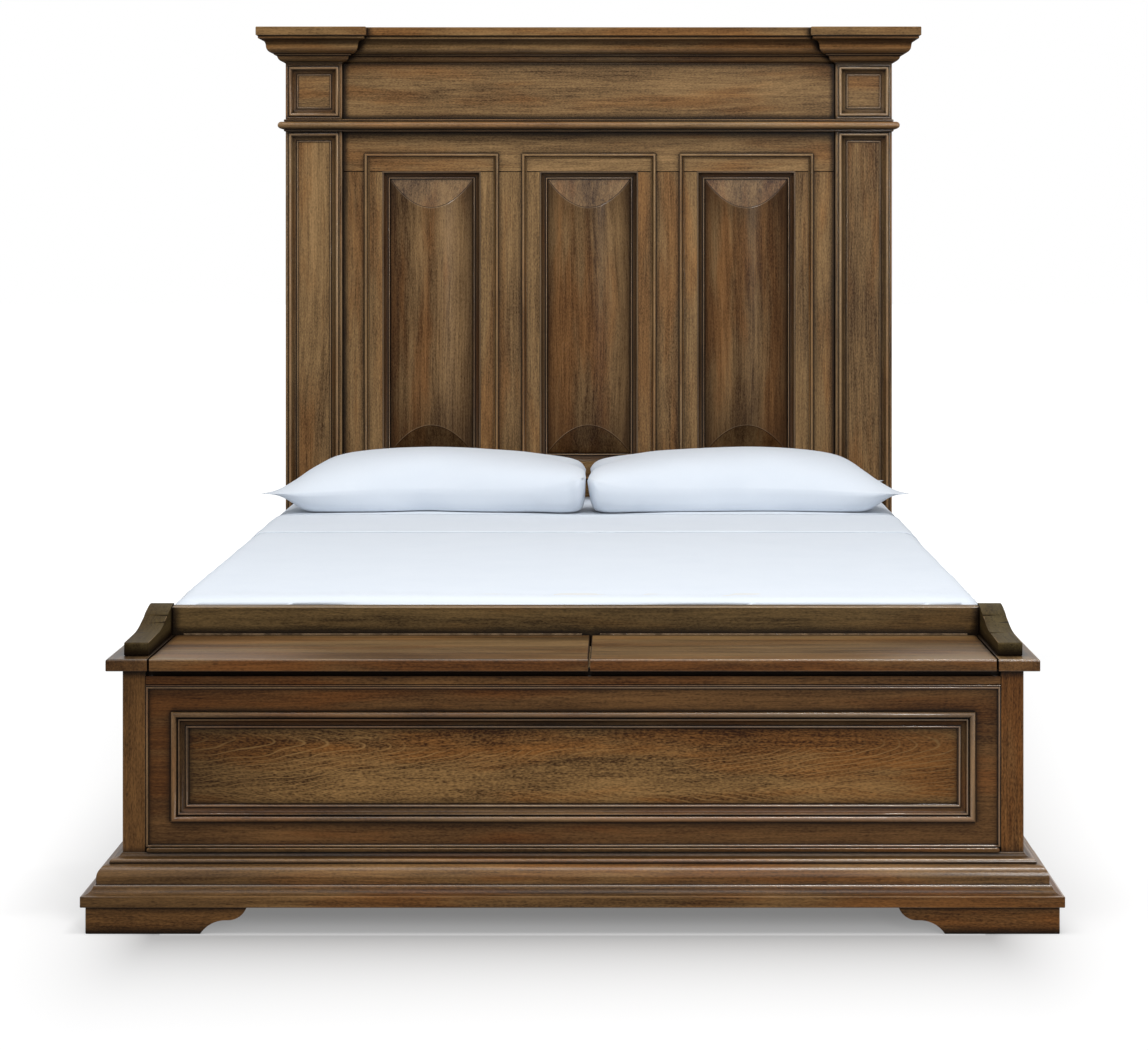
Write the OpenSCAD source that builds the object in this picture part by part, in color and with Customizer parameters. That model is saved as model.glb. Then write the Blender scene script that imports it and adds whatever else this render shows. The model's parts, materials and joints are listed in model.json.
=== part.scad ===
// Panel storage bed: tall three-panel headboard, side rails on hooks,
// and a two-lid storage bench across the foot. Millimetres, +Z up, foot end towards -Y.

/* [Mattress] */
// Width of the mattress
mattress_w = 1524; // [1370:1:1930]
// Length of the mattress
mattress_l = 2032; // [1880:1:2140]
// Height of the mattress
mattress_h = 254; // [200:1:320]
// Distance from the mattress side to the outer face of the bed
side_margin = 48; // [44:1:70]
// Free space between mattress and headboard posts
head_gap = 22; // [12:1:40]
// Free space between mattress and bench back
foot_gap = 11; // [8:1:30]

/* [Bedding] */
// Thickness of the tucked top sheet
sheet_t = 3; // [2:0.5:5]
// How far the sheet bulges past the mattress above the rails
sheet_bulge = 22; // [10:1:26]
// Depth of the turned-down cuff of the sheet
cuff_d = 380; // [250:1:420]
// Distance from the head of the mattress to the fold of the cuff
cuff_head = 520; // [300:1:700]
// Width of each pillow
pillow_w = 804; // [600:1:840]
// Front to back size of each pillow
pillow_l = 530; // [420:1:560]
// Height of the pillow crown above its seam
pillow_crown = 95; // [70:1:140]
// Depth of the pillow below its seam
pillow_drop = 52; // [25:1:60]
// How much slacker each pillow is at its outer end than at its inner end
pillow_slack = 0.2; // [0:0.02:0.3]
// How far each pillow edge is drawn in between its corners
pillow_pinch = 0.05; // [0:0.01:0.1]

/* [Headboard] */
// Overall height of the headboard
headboard_h = 1791; // [1500:1:1950]
// Width of each headboard post
post_w = 150; // [130:1:180]
// Depth of each post with its face frame
post_d = 75; // [65:1:100]
// Thickness of the face frame on each post
post_face_t = 22; // [20:1:28]
// How far the panel frame sits behind the post faces
frame_set_back = 25; // [15:1:35]
// Thickness of the panel frame
frame_t = 25; // [20:1:30]
// Height of the lower edge of the panel frame
frame_low_z = 250; // [200:1:300]
// Height of the lower edge of the three openings
open_low_z = 633; // [560:1:720]
// Width of the stiles beside the posts
outer_stile_w = 107; // [90:1:130]
// Width of the stiles between the panels
mid_stile_w = 160; // [130:1:190]
// Height of the top rail between the openings and the belt
top_rail_h = 123; // [100:1:150]
// Thickness of the plywood back
back_t = 12; // [6:1:18]

/* [Cornice and belt] */
// Thickness of the cornice top board
cap_t = 23; // [18:1:30]
// Reach of the cornice top board past the post face
cap_reach = 71; // [68:1:80]
// Radius of the round under the crown
crown_ovolo_r = 17.5; // [15:0.5:19]
// Radius of the convex and hollow halves of the crown curve
crown_wave_r = 18.75; // [16:0.25:19]
// Height of the fillet under the top board
crown_fillet_h = 8; // [5:1:11]
// Height of the belt moulding
belt_h = 32; // [28:1:38]
// Radius of the belt's round nose
belt_nose_r = 9.5; // [8:0.5:10]
// Distance from the top of the headboard to the middle of the belt
belt_drop = 259; // [240:1:280]

/* [Panels] */
// Width of the sloped moulding in each opening
panel_mould_w = 19; // [16:1:24]
// Depth of the sloped moulding
panel_mould_d = 12; // [10:1:14]
// Height of the crown of each barrel panel
barrel_rise = 24; // [12:1:30]
// Length over which each barrel end slopes down
barrel_slope_l = 81; // [50:1:110]
// Distance from each opening to the outside of its bead frame
bead_frame_out = 48.5; // [30:0.5:52]
// Width of the bead frame
bead_frame_w = 13; // [11:0.5:16]
// Width of the mouldings around the post panels
post_mould_w = 27; // [24:0.5:30]
// Width of the post panels between their mouldings
post_panel_w = 85; // [70:1:90]
// Height of the lower edge of the long post panel's moulding
post_panel_low_z = 430; // [420:1:560]

/* [Bench] */
// Height of the bench seat
seat_h = 483.5; // [450:0.5:520]
// Depth of the bench box with its back
box_d = 298; // [280:1:420]
// Thickness of the lids and end caps
lid_t = 22; // [18:1:28]
// How far the lids reach past the box front
lid_over = 25; // [18:1:32]
// How far the end caps reach past the box ends
cap_over = 26; // [18:1:32]
// Radius of the eased top edges of lids and caps
lid_round = 4; // [2:0.5:6]
// Gap between lids, and between lids and end caps
lid_gap = 4; // [2:0.5:6]
// How far the seam between the lids lies to the right of the middle
seam_x = 29; // [-60:1:60]
// Width of the front corner posts
corner_w = 41.5; // [36:0.5:50]
// Thickness of the bench boards
board_t = 20; // [16:1:24]
// How far the front board sits behind the corner posts
field_set_back = 4; // [3:0.5:6]
// Thickness of the bench backboard
backboard_t = 28; // [22:1:34]
// Height of the backboard above the seat
backboard_rise = 53.5; // [40:0.5:75]
// Thickness of the bench arms
arm_t = 44; // [36:1:48]
// Setback of the arm's front end from the lid front
arm_set_back = 40; // [30:1:60]
// Height of the arm's front end above the seat
arm_front_h = 23.5; // [16:0.5:28]
// Height of the bench floor panel
floor_z = 64; // [56:1:110]
// Thickness of the bench floor panel
floor_t = 12; // [9:1:18]
// Thickness of the divider between the two storage compartments
divider_t = 18; // [12:1:24]

/* [Bench front] */
// Margin from the front field to the moulded frame, at the sides
frame_margin_x = 39.5; // [25:0.5:60]
// Margin from the front field to the moulded frame, above and below
frame_margin_z = 40; // [20:0.5:55]
// Width of the moulded frame
bolection_w = 31; // [29:0.5:34]
// Drop from the lid to the rail strip, a shadow line
reveal_h = 11.5; // [8:0.5:15]
// Height of the rail strip
rail_strip_h = 19.5; // [14:0.5:26]
// Width of the bead around the front field
field_bead_w = 5.5; // [4.5:0.5:7]
// Height of the flat strip over the base moulding
low_strip_h = 8; // [6:0.5:12]

/* [Base and feet] */
// Height of the feet under the base moulding
foot_h = 48.5; // [42:0.5:60]
// Height of the base moulding
base_h = 84.5; // [80:0.5:95]
// Reach of the plinth past the box
plinth_reach = 64; // [60:1:70]
// Setback of the foot face behind the plinth face
foot_set_back = 8; // [4:1:14]
// Width of the front foot at the floor
foot_w = 204; // [160:1:240]
// Width of the side foot at the floor
side_foot_w = 57; // [45:1:70]
// Thickness of the foot boards
foot_t = 20; // [16:1:25]

/* [Hinges] */
// Outer diameter of the hinge knuckles
knuckle_d = 5; // [4:0.5:6]
// Diameter of the hinge pin
pin_d = 2.5; // [2:0.1:2.6]
// Length of one hinge knuckle
knuckle_l = 25; // [20:1:40]
// Thickness of the hinge leaves
leaf_t = 1.2; // [1:0.1:1.5]
// Height of each hinge leaf
leaf_h = 15; // [12:1:15]
// Height of the hinge axis above the seat
axis_lift = 0.5; // [0:0.1:1]
// Distance between hinge screws
screw_pitch = 95; // [60:1:140]

/* [Rails and slats] */
// Thickness of the side rails
rail_t = 25; // [20:1:30]
// Setback of the side rails from the outer face of the bed
rail_in = 15; // [8:1:16]
// Height of the lower edge of the side rails
rail_low_z = 160; // [130:1:180]
// Height of the side rails
rail_h = 240; // [220:1:260]
// Height of the top of the slats
slat_top_z = 290; // [270:1:310]
// Thickness of the slats
slat_t = 19; // [15:1:25]
// Width of the slats
slat_w = 70; // [50:1:90]
// Number of slats
slat_count = 13; // [10:1:16]
// Side of the square ledger strips
ledger = 20; // [15:1:25]
// Width of the centre rail
centre_rail_w = 30; // [24:1:50]
// Height of the centre rail
centre_rail_h = 70; // [50:1:90]
// Side of the square centre legs
leg_w = 40; // [30:1:50]
// Number of centre legs
leg_count = 3; // [2:1:4]
// Thickness of the steel rail hooks
hook_t = 3; // [2:0.5:4]

/* [Hidden] */
$fn = 48;

walnut = "#5c4231";
walnut_dark = "#49311f";
walnut_light = "#77593f";
pine = "#c9a878";
steel = "#8d8d8a";
bronze = "#6b5a43";
cotton = "#eef1f4";

// lengths and places along the bed
bed_w = mattress_w + 2 * side_margin;
total_l = plinth_reach + box_d + foot_gap + mattress_l + head_gap + post_d;
back_y = total_l / 2;
post_y = back_y - post_d;
core_y = post_y + post_face_t;
frame_y = post_y + frame_set_back;
frame_back_y = frame_y + frame_t;
mattress_y = post_y - head_gap - mattress_l;
box_back_y = mattress_y - foot_gap;
box_y = box_back_y - box_d;
field_y = box_y + field_set_back;
backboard_y = box_back_y - backboard_t;

// headboard
inner_w = bed_w - 2 * post_w;
belt_z = headboard_h - belt_drop;
open_top_z = belt_z - top_rail_h;
open_w = (inner_w - 2 * outer_stile_w - 2 * mid_stile_w) / 3;
open_pitch = open_w + mid_stile_w;
crown_top_z = headboard_h - cap_t;
crown_in = 3;
crown_step = 7.5;
crown_step_h = 4;
crown_reach = crown_in + crown_ovolo_r + crown_step + 2 * crown_wave_r;
crown_h = crown_in + crown_ovolo_r + crown_step_h + 2 * crown_wave_r + crown_fillet_h;
crown_low_z = crown_top_z - crown_h;
belt_reach = 2 * belt_nose_r;
fit_gap = 1;

// to a 64th of a millimetre, so that mitred sticks meet exactly
function snap(x) = round(64 * x) / 64;

// post panels
post_open_w = post_panel_w + 2 * post_mould_w;
post_open_x = -bed_w / 2 + (post_w - post_open_w) / 2;
block_z = (belt_z + belt_h / 2 + crown_low_z - post_open_w) / 2;
long_open_h = belt_z - belt_h / 2 - 1 - post_panel_low_z;
post_sink = 11;
panel_rebate = 5;

// bench
lid_low_z = seat_h - lid_t;
lid_clear = 0.3;
box_top_z = lid_low_z - lid_clear;
lid_y = box_y - lid_over;
corner_in = bed_w / 2 - corner_w;
rear_corner_w = 60;
end_x = bed_w / 2 - field_set_back - board_t;
arm_in = bed_w / 2 - arm_t;
arm_over = 3;
lid_end_x = arm_in - 2 * lid_gap;
cap_in_x = lid_end_x + lid_gap;
base_top_z = foot_h + base_h;
strip_top_z = lid_low_z - reveal_h;
field_top_z = strip_top_z - rail_strip_h - field_bead_w;
field_low_z = base_top_z + low_strip_h + field_bead_w;
field_w = 2 * (corner_in - field_bead_w);
bolection_lap = 12;
bolection_box = [snap(field_w - 2 * frame_margin_x),
                 snap(field_top_z - field_low_z - 2 * frame_margin_z)];
front_open = [bolection_box[0] - 2 * bolection_lap, bolection_box[1] - 2 * bolection_lap];
front_frame_z = field_low_z + frame_margin_z;
panel_sink = 6;
strip_proud = 3;
strip_end_gap = 2;

// feet: radius and height of the hollow, its run, the flat, and the round above it
foot_reach = plinth_reach - foot_set_back;
foot_hollow_r = 53.6;
foot_hollow_h = 24.5;
foot_run = sqrt(pow(foot_hollow_r, 2) - pow(foot_hollow_r - foot_hollow_h, 2));
foot_flat = 5;
foot_over = 10.5;
foot_round_r = foot_h - foot_hollow_h + foot_over;

// hinges
seam = knuckle_d + 0.4;
axis_y = backboard_y - seam / 2;
axis_z = seat_h + axis_lift;
lid_back_y = backboard_y - seam;
bore_d = pin_d + 0.1;
knuckle_clear = 0.3;
hinge_inset = 15;
screw_r = 1.3;
screw_head_r = 2.6;
screw_l = 14;
screw_z = axis_z - knuckle_d / 2 - 0.5 - leaf_h / 2;
left_lid_x = [-lid_end_x, seam_x - lid_gap / 2];
right_lid_x = [seam_x + lid_gap / 2, lid_end_x];

// rails and slats
rail_x = bed_w / 2 - rail_in;
rail_inner_x = rail_x - rail_t;
ledger_z = slat_top_z - slat_t;
soft_gap = 0.3;
soft_round = 45;
mattress_z = slat_top_z + soft_gap;
sheet_top_z = mattress_z + mattress_h + soft_gap + sheet_t;
cuff_y = mattress_y + mattress_l - cuff_head - cuff_d;
tuck_z = 360;
fold_z = rail_low_z + rail_h + 3;
tuck_x = mattress_w / 2 + soft_gap + sheet_t;

// rail hooks: plate size, the height of each hook on it, and the hook's reach
hook_plate_h = 80;
hook_plate_l = 60;
hook_plate_z = ledger_z - ledger - hook_plate_h - 3;
hook_zs = [14, 54];
hook_drop = 12;
hook_nose = 10;
hook_reach = 14;
post_plate_t = 3;

// steps across each pillow's grid
pillow_u = 26;
pillow_v = 16;

big = 4000;

// points along an arc
function arc(x, y, r, a0, a1, n = 8) =
    [for (i = [0:n]) let (a = a0 + (a1 - a0) * i / n) [x + r * cos(a), y + r * sin(a)]];

function turned(points) = [for (q = points) [-q[0], q[1]]];

// a flat shape drawn in Y and Z, carried along +X
module along_x(len, x = 0) {
    translate([x, 0, 0]) rotate([90, 0, 90]) linear_extrude(len) children();
}

// a flat shape drawn in X and Z, carried along +Y
module along_y(len, y = 0) {
    translate([0, y + len, 0]) rotate([90, 0, 0]) linear_extrude(len) children();
}

// A moulding on a face that looks to -Y. Profile points are [reach, height].
// left and right: 1 is a mitre round an outer corner, -1 into an inner corner, 0 a square end.
module run(len, profile, reach, left = 0, right = 0) {
    intersection() {
        along_x(len + 2 * reach, -reach) polygon(turned(profile));
        linear_extrude(big) polygon([[0, 1], [0, 0], [-left * reach, -reach],
                                     [len + right * reach, -reach], [len, 0], [len, 1]]);
    }
}

// One mitred stick of a frame. Profile points are [distance from the outer edge, height to -Y].
module stick(len, profile, w) {
    intersection() {
        along_x(len) polygon([for (q = profile) [-q[1], q[0]]]);
        rotate([90, 0, 0]) linear_extrude(200, center = true)
            polygon([[0, 0], [len, 0], [len - w, w], [w, w]]);
    }
}

// four mitred sticks round a box of size, from its lower left corner
module frame_of(size, profile, w) {
    stick(size[0], profile, w);
    translate([size[0], 0, 0]) rotate([0, -90, 0]) stick(size[1], profile, w);
    translate([size[0], 0, size[1]]) rotate([0, 180, 0]) stick(size[0], profile, w);
    translate([0, 0, size[1]]) rotate([0, 90, 0]) stick(size[1], profile, w);
}

module both_sides() {
    children();
    mirror([1, 0, 0]) children();
}

// headboard posts, each a core behind a face frame

module post() {
    color(walnut) translate([-bed_w / 2, core_y, 0])
        cube([post_w, back_y - core_y, crown_top_z]);
}

module left_post() {
    post();
}

module right_post() {
    mirror([1, 0, 0]) post();
}

module post_face() {
    color(walnut) difference() {
        translate([-bed_w / 2, post_y, 0]) cube([post_w, post_face_t, crown_top_z]);
        translate([post_open_x, post_y - 1, block_z])
            cube([post_open_w, post_face_t + 2, post_open_w]);
        translate([post_open_x, post_y - 1, post_panel_low_z])
            cube([post_open_w, post_face_t + 2, long_open_h]);
        translate([-rail_inner_x, post_y, hook_plate_z]) hook_pocket();
    }
}

module left_post_face() {
    post_face();
}

module right_post_face() {
    mirror([1, 0, 0]) post_face();
}

// from the core: panel rebate, inner bead, hollow, outer bead, quirk
function post_mould_profile() = let (w = post_mould_w, t = post_face_t, f = t - post_sink)
    concat([[0, 0], [w - panel_rebate, 0], [w - panel_rebate, f], [w, f]],
           arc(w - 1.8, f + 0.6, 1.8, 0, 180, 6),
           arc(w - 3.6, t + 1.5, t + 1 - f, 270, 200, 6),
           [[11.4, t - 2.5]],
           arc(6.8, t - 1.6, 4.2, 0, 180, 8),
           [[2.6, t - 3], [1, t - 3], [1, t - 0.5], [0, t - 0.5]]);

module post_panel_mouldings() {
    color(walnut_dark) both_sides() translate([post_open_x, core_y, 0]) {
        translate([0, 0, block_z])
            frame_of([post_open_w, post_open_w], post_mould_profile(), post_mould_w);
        translate([0, 0, post_panel_low_z])
            frame_of([post_open_w, long_open_h], post_mould_profile(), post_mould_w);
    }
}

module post_panels() {
    edge = post_mould_w - panel_rebate;
    color(walnut_light) both_sides()
        for (spot = [[block_z, post_open_w], [post_panel_low_z, long_open_h]])
            translate([post_open_x + edge, post_y + post_sink, spot[0] + edge])
                cube([post_open_w - 2 * edge, post_face_t - post_sink, spot[1] - 2 * edge]);
}

// cornice: top boards, and crown mouldings that break forward round the posts

module cornice_boards() {
    side_in = inner_w / 2 - cap_reach;
    color(walnut_dark) translate([0, 0, crown_top_z]) {
        both_sides() translate([-bed_w / 2 - cap_reach, post_y - cap_reach, 0])
            cube([post_w + 2 * cap_reach, back_y - post_y + cap_reach, cap_t]);
        translate([-side_in, frame_y - cap_reach, 0])
            cube([2 * side_in, back_y - frame_y + cap_reach, cap_t]);
    }
}

function crown_profile() = let (
        r = crown_ovolo_r, wave = crown_wave_r,
        p1 = crown_in + r + crown_step, z1 = crown_low_z + crown_in + r + crown_step_h)
    concat([[0, crown_low_z], [crown_in, crown_low_z]],
           arc(crown_in, crown_low_z + crown_in + r, r, 270, 360),
           [[p1, z1 - crown_step_h]],
           arc(p1, z1 + wave, wave, 270, 360),
           arc(p1 + 2 * wave, z1 + wave, wave, 180, 90),
           [[crown_reach, crown_top_z], [0, crown_top_z]]);

module end_crown() {
    color(walnut_dark) {
        translate([-bed_w / 2, back_y, 0]) rotate([0, 0, -90])
            run(post_d, crown_profile(), cap_reach, 0, 1);
        translate([-bed_w / 2, post_y, 0]) run(post_w, crown_profile(), cap_reach, 1, 1);
        translate([-inner_w / 2, post_y, 0]) rotate([0, 0, 90])
            run(frame_set_back, crown_profile(), cap_reach, 1, -1);
    }
}

module left_crown() {
    end_crown();
}

module right_crown() {
    mirror([1, 0, 0]) end_crown();
}

module centre_crown() {
    color(walnut_dark) translate([-inner_w / 2, frame_y, 0])
        run(inner_w, crown_profile(), cap_reach, -1, -1);
}

// belt moulding, straight across the headboard with a return along each post

function belt_profile() = let (r = belt_nose_r, h = belt_h / 2)
    concat([[0, belt_z - h], [4, belt_z - h], [4, belt_z - r - 1.5], [2.5, belt_z - r]],
           arc(belt_reach - r, belt_z, r, -90, 90, 12),
           [[2.5, belt_z + r], [4, belt_z + r + 1.5], [4, belt_z + h], [0, belt_z + h]]);

module belt_moulding() {
    color(walnut_dark) {
        union() {
            translate([-bed_w / 2, post_y, 0]) run(bed_w, belt_profile(), belt_reach, 1, 1);
            translate([-inner_w / 2, post_y - 1, belt_z - belt_h / 2])
                cube([inner_w, frame_set_back + 1, belt_h]);
        }
        both_sides() translate([-bed_w / 2, back_y, 0]) rotate([0, 0, -90])
            run(post_d, belt_profile(), belt_reach, 0, 1);
    }
}

// headboard frame between the posts

module frame_board(x, z, w, h) {
    color(walnut) translate([x, frame_y, z]) cube([w, frame_t, h]);
}

module frieze_board() {
    frame_board(-inner_w / 2, belt_z, inner_w, crown_top_z - belt_z);
}

module headboard_top_rail() {
    frame_board(-inner_w / 2, open_top_z, inner_w, belt_z - open_top_z);
}

module headboard_bottom_rail() {
    frame_board(-inner_w / 2, frame_low_z, inner_w, open_low_z - frame_low_z);
}

module outer_stiles() {
    both_sides()
        frame_board(-inner_w / 2, open_low_z, outer_stile_w, open_top_z - open_low_z);
}

module mid_stiles() {
    both_sides()
        frame_board(open_w / 2, open_low_z, mid_stile_w, open_top_z - open_low_z);
}

module headboard_back() {
    color(walnut_light) translate([-inner_w / 2, frame_back_y, frame_low_z])
        cube([inner_w, back_t, crown_top_z - frame_low_z]);
}

// from the outer edge: bead, quirk, hollow down to the frame
function bead_profile() = let (w = bead_frame_w)
    concat([[0, 0], [w, 0], [w, 0.8]],
           arc(w, 6.5, 5.7, 270, 215, 6),
           [[w - 4.9, 2], [7.6, 2]],
           arc(3.9, 2.9, 3.7, 0, 180, 10),
           [[0.2, 2], [0, 2]]);

module bead_frames() {
    size = [snap(open_w + 2 * bead_frame_out), snap(open_top_z - open_low_z + 2 * bead_frame_out)];
    color(walnut_dark) for (i = [-1:1])
        translate([snap(i * open_pitch) - size[0] / 2, frame_y, open_low_z - bead_frame_out])
            frame_of(size, bead_profile(), bead_frame_w);
}

// from the panel up: inner bead, hollow slope, edge fillet at the frame's face
function panel_mould_profile() = let (w = panel_mould_w, t = panel_mould_d)
    concat([[0, 0], [w, 0], [w, 1.6]],
           arc(w - 2, 1.8, 2, 0, 180, 6),
           arc(w - 4.2, t + 1, t - 0.2, 270, 192, 8),
           [[1.4, t - 1.6], [1.4, t - 0.5], [0, t - 0.5]]);

module panel_mouldings() {
    size = [open_w, open_top_z - open_low_z];
    color(walnut_dark) for (i = [-1:1])
        translate([i * open_pitch - open_w / 2, frame_y + panel_mould_d, open_low_z])
            frame_of(size, panel_mould_profile(), panel_mould_w);
}

// a barrel front on a flat board, with each end sloped down to the board
module barrel_panel(i) {
    chord = open_w - 2 * panel_mould_w;
    r = (chord * chord / 4 + barrel_rise * barrel_rise) / (2 * barrel_rise);
    low = open_low_z + panel_mould_w;
    top = open_top_z - panel_mould_w;
    face_y = frame_y + panel_mould_d;
    color(walnut_light) translate([i * open_pitch, 0, 0]) {
        translate([fit_gap - open_w / 2, face_y, open_low_z + fit_gap])
            cube([open_w - 2 * fit_gap, frame_back_y - face_y,
                  open_top_z - open_low_z - 2 * fit_gap]);
        intersection() {
            translate([0, 0, low]) linear_extrude(top - low) intersection() {
                translate([0, face_y - barrel_rise + r]) circle(r, $fn = 180);
                translate([-chord / 2, face_y - barrel_rise - 1])
                    square([chord, barrel_rise + 2]);
            }
            along_x(chord, -chord / 2)
                polygon([[face_y + 1, low], [face_y, low],
                         [face_y - barrel_rise - 1, low + barrel_slope_l],
                         [face_y - barrel_rise - 1, top - barrel_slope_l],
                         [face_y, top], [face_y + 1, top]]);
        }
    }
}

module left_barrel_panel() {
    barrel_panel(-1);
}

module centre_barrel_panel() {
    barrel_panel(0);
}

module right_barrel_panel() {
    barrel_panel(1);
}

// bench box

module bench_corner_posts() {
    depth = corner_w;
    color(walnut) both_sides() {
        translate([-bed_w / 2, box_y, 0]) cube([corner_w, depth, lid_low_z]);
        difference() {
            translate([-bed_w / 2, box_back_y - depth, 0])
                cube([rear_corner_w, depth, lid_low_z]);
            translate([-rail_inner_x, box_back_y, hook_plate_z]) mirror([0, 1, 0])
                hook_pocket();
        }
    }
}

module bench_front_board() {
    rebate = 6;
    color(walnut_dark) difference() {
        translate([-corner_in, field_y, foot_h])
            cube([2 * corner_in, board_t, box_top_z - foot_h]);
        translate([-corner_in - 1, field_y - 1, strip_top_z])
            cube([2 * corner_in + 2, rebate + 1, reveal_h + 1]);
        translate([-front_open[0] / 2, field_y - 1, front_frame_z + bolection_lap])
            cube([front_open[0], board_t + 2, front_open[1]]);
    }
}

// strip along the top with a small bead on its lower edge
module bench_rail_strip() {
    t = field_set_back;
    z = strip_top_z - rail_strip_h;
    r = 1.6;
    color(walnut) along_x(2 * corner_in, -corner_in)
        polygon(concat([[field_y, strip_top_z], [field_y - t, strip_top_z],
                        [field_y - t, z + 2 * r + 1], [field_y - t + 1, z + 2 * r + 1]],
                       arc(field_y - t + r, z + r, r, 90, 270, 8),
                       [[field_y, z]]));
}

// bead round the field, and the round-ended flat strip over the base
module bench_field_bead() {
    w = field_bead_w;
    t = field_set_back;
    size = [field_w + 2 * w, field_top_z - field_low_z + 2 * w];
    strip_t = t + strip_proud;
    strip_w = field_w + 2 * (w - strip_end_gap);
    color(walnut_light) {
        translate([-size[0] / 2, field_y, field_low_z - w])
            frame_of(size, concat([[0, 0], [w, 0], [w, 0.6], [w - 1, 0.6]],
                                  arc(w / 2 - 0.5, t - w / 2 + 0.5, w / 2 - 0.5, 0, 180, 8)), w);
        along_y(strip_t, field_y - strip_t) hull() for (side = [-1, 1])
            translate([side * (strip_w - low_strip_h) / 2, base_top_z + low_strip_h / 2])
                circle(low_strip_h / 2, $fn = 32);
    }
}

// raised frame moulding: outer round, quirk, hollow, inner bead, drawn 31 wide
function bolection_profile() = let (
        w = bolection_w,
        face = concat([[0, 0]], arc(5.5, 3, 5.5, 180, 0, 10),
                      [[11, 1.6], [12.4, 1.6], [12.4, 4.4], [15.3, 4.4]],
                      arc(26, 8, 11, 203, 265, 6),
                      arc(27.8, -3, 2.3, 180, 0, 6), [[31, -3.4]]))
    concat([for (q = face) w / 31 * q],
           [[w, -panel_sink], [bolection_lap, -panel_sink], [bolection_lap, 0]]);

module bench_frame_moulding() {
    color(walnut_light) translate([-bolection_box[0] / 2, field_y, front_frame_z])
        frame_of(bolection_box, bolection_profile(), bolection_w);
}

module bench_front_panel() {
    color(walnut_light)
        translate([fit_gap - front_open[0] / 2, field_y + panel_sink,
                   front_frame_z + bolection_lap + fit_gap])
            cube([front_open[0] - 2 * fit_gap, board_t - panel_sink,
                  front_open[1] - 2 * fit_gap]);
}

module bench_end() {
    color(walnut_dark) translate([-end_x - board_t, box_y + corner_w, foot_h])
        cube([board_t, box_d - 2 * corner_w, lid_low_z - foot_h]);
}

module left_bench_end() {
    bench_end();
}

module right_bench_end() {
    mirror([1, 0, 0]) bench_end();
}

module bench_back() {
    w = bed_w - 2 * rear_corner_w;
    color(walnut_light) translate([-w / 2, box_back_y - board_t, foot_h])
        cube([w, board_t, lid_low_z - foot_h]);
}

// floor panel, notched round the corner posts
module bench_floor() {
    y0 = field_y + board_t;
    y1 = box_back_y - board_t;
    color(pine) difference() {
        translate([-end_x, y0, floor_z]) cube([2 * end_x, y1 - y0, floor_t]);
        both_sides() {
            translate([-bed_w / 2, box_y, floor_z - 1])
                cube([corner_w, corner_w, floor_t + 2]);
            translate([-bed_w / 2, box_back_y - corner_w, floor_z - 1])
                cube([rear_corner_w, corner_w, floor_t + 2]);
        }
    }
}

module bench_divider() {
    y0 = field_y + board_t;
    z0 = floor_z + floor_t;
    color(pine) translate([seam_x - divider_t / 2, y0, z0])
        cube([divider_t, box_back_y - board_t - y0, box_top_z - z0]);
}

// slab section: square back edge, eased front edges
function slab_section(back, front, z0, z1, r) =
    concat([[back, z0]], arc(front + r / 2, z0 + r / 2, r / 2, 270, 180, 4),
           arc(front + r, z1 - r, r, 180, 90, 6), [[back, z1]]);

module end_cap() {
    color(walnut) intersection() {
        along_x(bed_w / 2 + cap_over - cap_in_x, -bed_w / 2 - cap_over)
            polygon(slab_section(box_back_y, lid_y, lid_low_z, seat_h, lid_round));
        along_y(big, -big / 2)
            polygon(slab_section(-cap_in_x, -bed_w / 2 - cap_over, lid_low_z, seat_h, lid_round));
    }
}

module left_end_cap() {
    end_cap();
}

module right_end_cap() {
    mirror([1, 0, 0]) end_cap();
}

// rising curve of the arm, drawn for one 283 long: a hollow that turns into a round
function arm_curve() = let (
        low_r = 348, high_r = 518, sweep = 16.7, last = 8.5,
        x = low_r * sin(sweep), z = low_r * (1 - cos(sweep)))
    concat(arc(0, low_r, low_r, 270, 270 + sweep, 8),
           arc(x + high_r * sin(sweep), z - high_r * cos(sweep), high_r,
               90 + sweep, 90 + last, 6));

// arm: low flat front, the long curve up, and a short flat top at the backboard
module arm() {
    arm_l = box_d + lid_over - arm_set_back;
    top = backboard_rise + arm_over;
    curve = arm_curve();
    stretch = arm_l / 283;
    low = arm_front_h + 1.5;
    lift = (top - 0.6 - low) / curve[len(curve) - 1][1];
    r = 4;
    color(walnut) translate([-arm_in - arm_t, lid_y + arm_set_back, seat_h]) along_x(arm_t)
        polygon(concat([[0, 0]],
                       arc(r, arm_front_h - r, r, 180, 90, 4),
                       [for (q = curve) [stretch * (90 + q[0]), low + lift * q[1]]],
                       arc(arm_l - 3 * r, top - r, r, 120, 90, 3),
                       [[arm_l, top], [arm_l, 0]]));
}

module left_arm() {
    arm();
}

module right_arm() {
    mirror([1, 0, 0]) arm();
}

// backboard: between the end caps below the seat, between the arms above it
module backboard() {
    w0 = cap_in_x - 0.5;
    top = seat_h + backboard_rise;
    r = 3;
    color(walnut) difference() {
        intersection() {
            along_y(backboard_t, backboard_y)
                polygon([[-w0, lid_low_z], [w0, lid_low_z], [w0, seat_h], [arm_in, seat_h],
                         [arm_in, top], [-arm_in, top], [-arm_in, seat_h], [-w0, seat_h]]);
            along_x(2 * arm_in, -arm_in)
                polygon(concat([[box_back_y, lid_low_z], [backboard_y, lid_low_z]],
                               arc(backboard_y + r, top - r, r, 180, 90, 4),
                               arc(box_back_y - r, top - r, r, 90, 0, 4)));
        }
        for (span = [left_lid_x, right_lid_x]) screw_holes(span, 1);
    }
}

// lids, on continuous hinges

module lid(span) {
    color(walnut) difference() {
        along_x(span[1] - span[0], span[0])
            polygon(slab_section(lid_back_y, lid_y, lid_low_z, seat_h, lid_round));
        screw_holes(span, -1);
    }
}

module left_lid() {
    lid(left_lid_x);
}

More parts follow.
